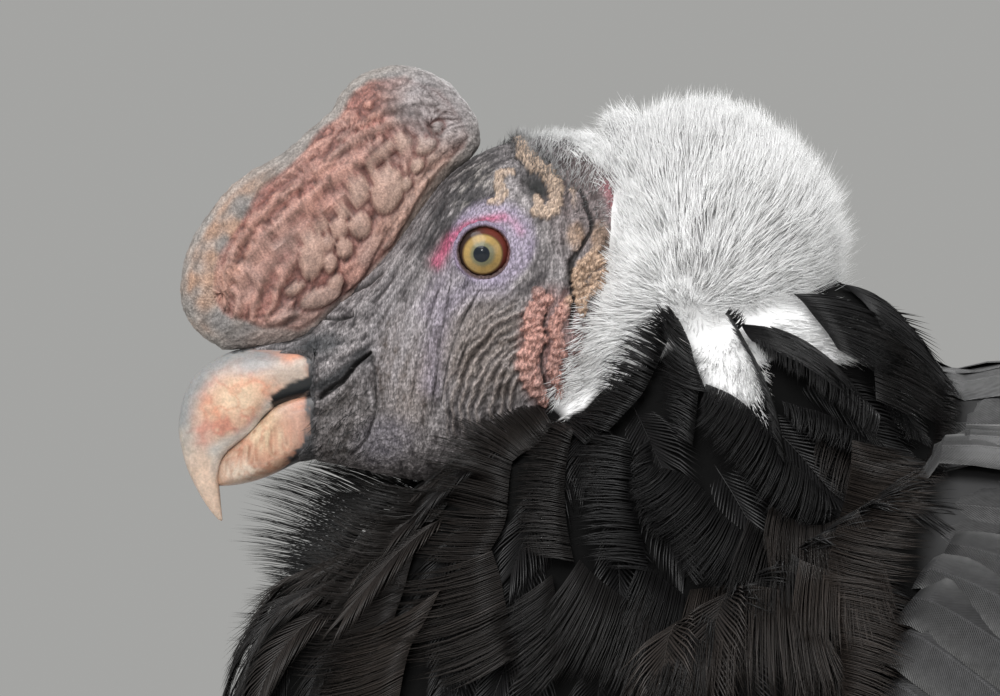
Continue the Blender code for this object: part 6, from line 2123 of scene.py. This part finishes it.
# Tiers of the folded wing from the undermost: name, how many, the first feather's root and tip, the
# last one's root and tip (metres along, degrees round), half width and lift in mm, the rise of a
# feather's lower edge as a share of its width, and its colours at the root, tip and edge.
WING_TIERS = [
    ("primary", 10, (0.300, 100.0), (0.735, 80.0), (0.350, 62.0), (0.610, 34.0), 11.0, 3.6, 0.13,
     (0.012, 0.012, 0.013), (0.010, 0.010, 0.011), (0.014, 0.014, 0.015)),
    ("secondary", 15, (0.110, 64.0), (0.275, 112.0), (0.330, 28.0), (0.600, 68.0), 17.0, 9.2, 0.09,
     (0.30, 0.30, 0.295), (0.40, 0.40, 0.39), (0.022, 0.022, 0.023)),
    ("covert", 17, (0.060, 60.0), (0.170, 92.0), (0.270, 22.0), (0.470, 47.0), 15.0, 14.4, 0.095,
     (0.05, 0.05, 0.052), (0.36, 0.36, 0.35), (0.30, 0.30, 0.29)),
    ("shoulder", 17, (0.015, 66.0), (0.095, 80.0), (0.190, 18.0), (0.345, 30.0), 13.0, 19.0, 0.095,
     (0.020, 0.020, 0.021), (0.050, 0.050, 0.052), (0.085, 0.085, 0.085)),
    ("scapular", 10, (0.050, 32.0), (0.240, 26.0), (0.160, 13.0), (0.530, 17.0), 13.0, 19.5, 0.10,
     (0.030, 0.030, 0.031), (0.055, 0.055, 0.056), (0.075, 0.075, 0.075)),
]
# How deep a feather's root dips, in mm, and the least distance from the top line, in metres.
ROOT_DIP = 5.0
LEAST_GAP = 0.004
# How deep the wing's feathers dive under the cape, in mm.
UNDER_CAPE = 17.0
# How much of their lift the scapulars lose towards their tips.
SCAPULAR_SETTLE = 0.72


def wing_line(root, tip, half, lift, rise, rows, widths, settle):
    """The middle line of a feather round the body, its normals and its half widths."""
    share = np.linspace(0, 1, rows)
    along = root[0] + (tip[0] - root[0]) * share
    angle = np.radians(root[1] + (tip[1] - root[1]) * share**1.15)
    least = np.arcsin(np.minimum((LEAST_GAP + half * MM * 0.4) / body_rows(along)[:, 1], 1))
    angle = np.maximum(angle, least)
    dip = ROOT_DIP * np.maximum(0, 1 - share / 0.3) ** 2 + lift * settle * share
    line = body_point(along, angle, (lift - dip) * MM)
    below = body_point(along, angle + 0.03, (lift - dip) * MM)
    step_round = unit(below - line)
    forward = unit(np.gradient(line, axis=0))
    out = unit(np.cross(forward, step_round))
    middle = body_point(along, angle, -0.03)
    out = out * np.sign(np.sum(out * (line - middle), 1, keepdims=True))
    hidden = (1 - smooth(-48, 0, past_cape(line))) * smooth(0.395, 0.425, line[:, 2])
    line = line - out * (UNDER_CAPE * MM * hidden)[:, None]
    # The lower edge stands higher than the upper one, so that each feather lies on the next.
    tilt = unit(out - step_round * rise)
    return line, tilt, half * MM * widths


def make_wings():
    """The folded wings' feathers, tier by tier, on both sides."""
    rng = np.random.default_rng(31)
    finish = vane_material("wing_feathers", 0.5, 0.35, 0.95)
    rows = 22
    for side, name in ((-1, "left"), (1, "right")):
        lines, outs, halves, tones, tips, edges = [], [], [], [], [], []
        for tier, count, root_a, tip_a, root_b, tip_b, half, lift, rise, low, high, edge in WING_TIERS:
            widths = shape_widths(FEATHER_SHAPE, rows)
            for i in range(count):
                share = i / (count - 1)
                root = np.add(root_a, np.subtract(root_b, root_a) * share)
                tip = np.add(tip_a, np.subtract(tip_b, tip_a) * share)
                root = root + rng.normal(size=2) * (0.0025, 0.5)
                tip = tip + rng.normal(size=2) * (0.004, 0.6)
                settle = SCAPULAR_SETTLE if tier == "scapular" else 0.0
                line, out, wide = wing_line(root, tip, half * rng.uniform(0.94, 1.06), lift, rise, rows,
                                            widths, settle)
                lines.append(line * (1, side, 1))
                outs.append(out * (1, side, 1))
                halves.append(wide)
                dim = rng.uniform(0.85, 1.15)
                tones.append(np.asarray(low) * dim)
                tips.append(np.asarray(high) * dim)
                edges.append(np.asarray(edge) * dim)
        lines, outs, halves = np.array(lines), np.array(outs), np.array(halves)
        sheets(f"wing_{name}_feathers", "flight_feathers", finish, lines, outs, halves,
               np.array(tones), lines[:, 0], (f"wing_{name}",), cols=7, tip_tones=np.array(tips),
               edge_tones=np.array(edges))
    return finish


# The tail: its length, the feathers on each side, half a feather's width, the distance between two
# feathers' tips, the step between them in mm, how much they drop, and their start over the axis and
# along the body. In metres but for the step.
TAIL_LENGTH = 0.335
TAIL_FEATHERS = 6
TAIL_HALF = 0.0235
TAIL_FAN = 0.0118
TAIL_STEP = 1.25
TAIL_DROP = math.radians(1.5)
TAIL_HEIGHT = -0.022
TAIL_START = 0.460
# Its layers from below: their share of the length, their lift in mm and their brightness.
TAIL_LAYERS = ((1.0, 0.0, 1.0), (0.45, 4.2, 1.2), (0.28, 7.0, 1.3))


def make_tail(finish):
    """Twelve feathers that fan out, over a short base, with shorter ones on top."""
    lines, outs, halves, tones = [], [], [], []
    rows = 26
    share = np.linspace(0.03, 1, rows)
    widths = shape_widths(FEATHER_SHAPE, rows)
    upwards = np.tile((math.sin(BODY_PITCH), 0, math.cos(BODY_PITCH)), (rows, 1))

    def add(along, across, up, half, dim):
        lines.append(body_frame(TAIL_START + along * math.cos(TAIL_DROP), across, up))
        outs.append(upwards)
        halves.append(half)
        tones.append(np.asarray(FEATHER_BLACK) * dim)

    for scale, lift, dim in TAIL_LAYERS:
        for side in (-1, 1):
            for i in range(TAIL_FEATHERS):
                s = share * scale
                along = TAIL_LENGTH * s * (1 - 0.004 * i * i)
                half = TAIL_HALF * widths * (0.8 + 0.2 * scale)
                across = np.maximum(0.006 + 0.003 * i + TAIL_FAN * (i + 0.45) * s, half + 0.0005)
                up = TAIL_HEIGHT - along * math.sin(TAIL_DROP) - i * TAIL_STEP * MM - across * 0.04
                up = up + lift * MM
                up = up + (0.0 if scale == 1 else -0.006 * share)
                add(along, across * side, up, half, dim)
        # One feather lies over the two halves' seam.
        along = TAIL_LENGTH * share * scale * 0.98
        up = TAIL_HEIGHT - along * math.sin(TAIL_DROP) + (lift + TAIL_STEP) * MM
        up = up - (scale < 1) * 0.006 * share
        add(along, 0.0 * share, up, TAIL_HALF * widths * 0.9, dim)
    lines = np.array(lines)
    sheets("tail_feathers", "flight_feathers", finish, lines, np.array(outs), np.array(halves),
           np.array(tones), lines[:, 0], ("tail",), cols=7, camber=0.03)


# Small feathers: how many places are tried, the distance between them, and their lengths and half
# widths on the body and on the thighs, in metres.
BODY_PLACES = 30000
BODY_SPACING = 0.0120
BODY_LENGTHS = (0.040, 0.030)
BODY_HALVES = (0.0115, 0.0085)


def make_body_feathers(core, core_faces, core_tree):
    """Small feathers over the rest of the body and the thighs, each laid on the skin."""
    rng = np.random.default_rng(41)
    finish = vane_material("body_feathers", 0.6, 0.3, 1.1, 1.15, 1.1)
    points, normals = surface_scatter(rng, core, core_faces, BODY_PLACES)
    behind_cape = past_cape(points)
    keep = (points[:, 0] > -0.150) | (points[:, 2] < 0.40) | (behind_cape > -14)
    keep &= (ruff_depth(points) > 6.0) & ((behind_cape > -40) | (points[:, 2] < 0.40))
    points, normals = points[keep], normals[keep]
    kept = thinned(points, BODY_SPACING)
    points, normals = points[kept], normals[kept]
    back = np.array((math.cos(BODY_PITCH), 0, -math.sin(BODY_PITCH)))
    down = np.array((0.35, 0, -1.0))
    leg = smooth(0.36, 0.28, points[:, 2])[:, None]
    lie = flattened(unit(back * (1 - leg) + unit(down) * leg), normals)
    rows = 6
    t = np.linspace(0, 1, rows)
    widths = shape_widths(ROUND_SHAPE, rows)
    lines, outs, halves, tones, edges = [], [], [], [], []
    for p, n, d in zip(points, normals, lie):
        size = rng.uniform(0.85, 1.15)
        on_leg = int(p[2] < 0.30)
        large = 1 + 0.35 * smooth(0.0, 0.4, n[2]) * (p[0] < -0.05)
        length = BODY_LENGTHS[on_leg] * size * large
        flat = 0.6 if large > 1.1 else 1.0
        lifts = (-0.5 + 3.6 * flat * np.sin(np.pi * 0.6 * t) + rng.uniform(0, 1.0)) * MM
        way = unit(d + 0.07 * rng.normal(size=3))
        line, out = laid(core_tree, p, way, length, lifts, rows)
        lines.append(line)
        outs.append(unit(out + unit(np.gradient(line, axis=0)) * -0.10))
        halves.append(BODY_HALVES[on_leg] * size * large * widths)
        upper = smooth(-0.3, 0.2, n[2]) * smooth(-0.215, -0.19, p[0]) * mantle_share(p)
        tone = blend(FEATHER_BLACK, MANTLE_GREY, upper)
        tone = tone * rng.uniform(0.8, 1.2)
        tones.append(tone)
        edges.append(tone * (1.15 + 0.5 * upper))
    lines = np.array(lines)
    sheets("body_feathers", "black_feathers", finish, lines, np.array(outs), np.array(halves),
           np.array(tones), lines[:, 0], cols=5, edge_tones=np.array(edges))


# The legs: stations of x, side, height and half lengths along and across, in metres.
SHANK = [
    (-0.0904, 0.073, 0.1485, 0.0124, 0.0116), (-0.0914, 0.073, 0.136, 0.0130, 0.0122),
    (-0.0984, 0.073, 0.110, 0.0099, 0.0093), (-0.1084, 0.073, 0.075, 0.0097, 0.0090),
    (-0.1164, 0.073, 0.0478, 0.0116, 0.0108),
]
FOOT = [
    (-0.1160, 0.073, 0.0500, 0.0116, 0.0108), (-0.1204, 0.073, 0.034, 0.0148, 0.0142),
    (-0.1234, 0.073, 0.016, 0.0182, 0.0176), (-0.1242, 0.073, 0.0035, 0.0160, 0.0160),
]
# Each toe's name, its length, the way it points in degrees from straight ahead, and its radius.
TOES = [
    ("inner", 0.058, -26.0, 0.0095), ("middle", 0.100, 2.0, 0.0100),
    ("outer", 0.066, 26.0, 0.0090), ("hind", 0.034, 172.0, 0.0080),
]
TOE_START = (-0.1244, 0.073)
TOE_SIDES = 28
# The length of a plate on a toe's top, in metres, and the toe's end as a share of its radius.
TOE_PLATE = 0.0052
TOE_TIP_SHARE = 0.66
TOE_SWELL = [(0.0, 1.0), (0.33, 1.0), (0.5, 0.86), (0.7, 0.98), (1.0, 0.78)]
CLAW_LENGTH = 0.027
CLAW_GAP = 0.35


def scaled_tube(grid, size, depth, seed):
    """A tube's points with raised scales, and their colours."""
    points = grid.reshape(-1, 3)
    middle = grid.mean(axis=1, keepdims=True)
    out = unit(grid - middle).reshape(-1, 3)
    first, second, which = cells(points, size, seed)
    scale = smooth(0.03, 0.22, second - first)
    moved = points + out * ((scale - 1) * depth * MM)[:, None]
    tone = mix((0.035, 0.033, 0.032), (0.165, 0.155, 0.148), scale)
    tone = tone * (0.8 + 0.4 * which)[:, None]
    return moved.reshape(grid.shape), tone


def toe_axes(heading, side):
    """A toe's start on the floor, the way it points and the way across it."""
    turn = math.radians(heading) * side
    ahead = np.array((-math.cos(turn), math.sin(turn), 0))
    start = np.array((TOE_START[0], TOE_START[1] * side, 0))
    return start, ahead, np.array((-ahead[1], ahead[0], 0))


def toe_grid(length, heading, radius, side):
    """A toe's rings, from its root to its end, with broad plates across its top."""
    start, ahead, across = toe_axes(heading, side)
    share = np.linspace(0, 1, 64)
    keys = np.asarray(TOE_SWELL)
    swell = spline(keys[:, 1:], np.interp(share, keys[:, 0], np.arange(len(keys))))[:, 0]
    r = radius * swell * (1 - (1 - TOE_TIP_SHARE) * share)
    around = np.linspace(0, 2 * np.pi, TOE_SIDES, endpoint=False)
    plate = 0.45 * MM * np.abs(np.sin(np.pi * share * length / TOE_PLATE))[:, None]
    plate = plate * np.clip(np.sin(around), 0, 1) ** 0.5
    wide = r[:, None] * 0.98 - 0.4 * MM + plate
    base = start + ahead * (length * share)[:, None]
    grid = base[:, None] + across * (wide * np.cos(around))[..., None]
    grid[..., 2] = np.maximum(r[:, None] * 0.86 + wide * np.sin(around), 0.4 * MM)
    return grid


def claw_grid(length, heading, radius, side):
    """A claw's rings, from its toe's end down to its point."""
    start, ahead, across = toe_axes(heading, side)
    end_radius = radius * 0.78 * TOE_TIP_SHARE
    reach = CLAW_LENGTH * radius / 0.0095
    share = np.linspace(0, 0.995, 40)
    r = end_radius * 0.84 * (1 - share) ** 0.7
    around = np.linspace(0, 2 * np.pi, TOE_SIDES, endpoint=False)
    base = start + ahead * (length + CLAW_GAP * MM + reach * share)[:, None]
    height = np.maximum(end_radius * 0.9 - end_radius * 0.4 * share, r + 0.7 * MM)
    height = height * (1 - share**3) + 0.9 * MM * share**3 + r * share**3
    grid = base[:, None] + across * (r[:, None] * 0.8 * np.cos(around))[..., None]
    grid[..., 2] = height[:, None] + r[:, None] * np.sin(around)
    return grid


def make_legs():
    """Bare scaly shanks and feet, and dark claws."""
    scales = skin_material("leg_scales", 0.55, 1900, 0.8, 1.15, 0.0002)
    dark = horn_material("claws")
    for side, name in ((-1, "left"), (1, "right")):
        shank = np.asarray(SHANK, float) * (1, side, 1, 1, 1)
        grid = tube_grid(spline(shank, np.linspace(0, 4, 110)), 72)
        grid, tone = scaled_tube(grid, 0.0040, 0.5, 101)
        verts, faces = closed_grid(grid)
        tone = np.concatenate([tone, tone[:2]])
        obj = new_object(f"shank_{name}_scales", verts, faces, scales, tone)
        place(obj, "leg_scales", f"shank_{name}")
        meshes, tones = [], []
        foot = np.asarray(FOOT, float) * (1, side, 1, 1, 1)
        grids = [tube_grid(spline(foot, np.linspace(0, 3, 50)), 72)]
        grids += [toe_grid(*toe[1:], side) for toe in TOES]
        for k, grid in enumerate(grids):
            grid, tone = scaled_tube(grid, 0.0036 if k == 0 else 0.0030, 0.4, 103)
            meshes.append(closed_grid(grid))
            tones.append(np.concatenate([tone, tone[:2]]))
        verts, faces = joined(meshes)
        obj = new_object(f"foot_{name}_scales", verts, faces, scales, np.concatenate(tones))
        place(obj, "leg_scales", f"foot_{name}")
        for toe in TOES:
            verts, faces = closed_grid(claw_grid(*toe[1:], side))
            grain = np.clip(0.3 + 0.5 * noise(verts * (1, 1, 4), 0.004, 105), 0, 1)
            tone = mix((0.022, 0.020, 0.019), (0.07, 0.062, 0.055), grain)
            obj = new_object(f"claw_{name}_{toe[0]}_horn", verts, faces, dark, tone)
            place(obj, "claw", f"claw_{name}_{toe[0]}")


def make_camera():
    """The photo's close-up from the bird's left side."""
    data = bpy.data.cameras.new("camera")
    data.lens = CAM_LENS
    data.sensor_width = 36.0
    data.clip_end = 100
    camera = bpy.data.objects.new("camera", data)
    camera.location = (CAM_X, -CAM_DISTANCE, CAM_Z)
    camera.rotation_euler = (math.pi / 2, 0, 0)
    bpy.context.scene.collection.objects.link(camera)
    bpy.context.scene.camera = camera


# The lights: where each stands and what it faces, its size in metres and its power in watts.
BIRD_MIDDLE = (-0.30, 0, 0.62)
LIGHTS = [
    ("key", (-1.0, -1.4, 2.2), BIRD_MIDDLE, 1.9, 60),
    ("fill", (1.4, -1.6, 1.0), BIRD_MIDDLE, 1.4, 10),
    ("back", (0.6, 1.6, 1.9), (0, 0, 0.4), 1.2, 24),
    ("glint", (-0.75, -2.2, 1.0), BIRD_MIDDLE, 0.12, 7),
]


def add_light(name, place_at, target, size, power):
    """A white square light that faces a point."""
    data = bpy.data.lights.new(name, "AREA")
    data.shape = "SQUARE"
    data.size = size
    data.energy = power
    light = bpy.data.objects.new(name, data)
    light.location = place_at
    light.rotation_euler = (Vector(target) - Vector(place_at)).to_track_quat("-Z", "Y").to_euler()
    bpy.context.scene.collection.objects.link(light)


def make_studio():
    """A pale floor, soft light from above on the photo's side, and a paler room."""
    made, _, _, shader = new_material("floor", 0.8, 0.2)
    shader.inputs["Base Color"].default_value = (0.62, 0.61, 0.59, 1)
    mesh = bpy.data.meshes.new("floor")
    builder = bmesh.new()
    bmesh.ops.create_circle(builder, cap_ends=True, segments=96, radius=7.0)
    builder.to_mesh(mesh)
    builder.free()
    mesh.materials.append(made)
    floor = bpy.data.objects.new("floor", mesh)
    bpy.context.scene.collection.objects.link(floor)
    world = bpy.data.worlds.new("room")
    world.use_nodes = True
    world.node_tree.nodes["Background"].inputs["Color"].default_value = (0.60, 0.60, 0.585, 1)
    world.node_tree.nodes["Background"].inputs["Strength"].default_value = 0.62
    bpy.context.scene.world = world
    for light in LIGHTS:
        add_light(*light)
    bpy.context.scene.view_settings.view_transform = "Standard"


def main():
    """Builds the studio and then the bird, from the skin outwards."""
    make_camera()
    make_studio()
    head, head_faces, core, core_faces = main_skin()
    make_comb()
    make_bill()
    make_eyes()
    head_tree = tree_from(head, head_faces)
    body = joined([closed_grid(ring_mesh(NECK, 50, 64, 0.95))])
    make_down(head, head_faces, head_tree, tree_from(*body), core, core_faces)
    make_bristles(head, head_faces)
    core_tree = tree_from(core, core_faces)
    make_cape(core, core_faces, core_tree)
    make_tail(make_wings())
    make_body_feathers(core, core_faces, core_tree)
    make_legs()


main()
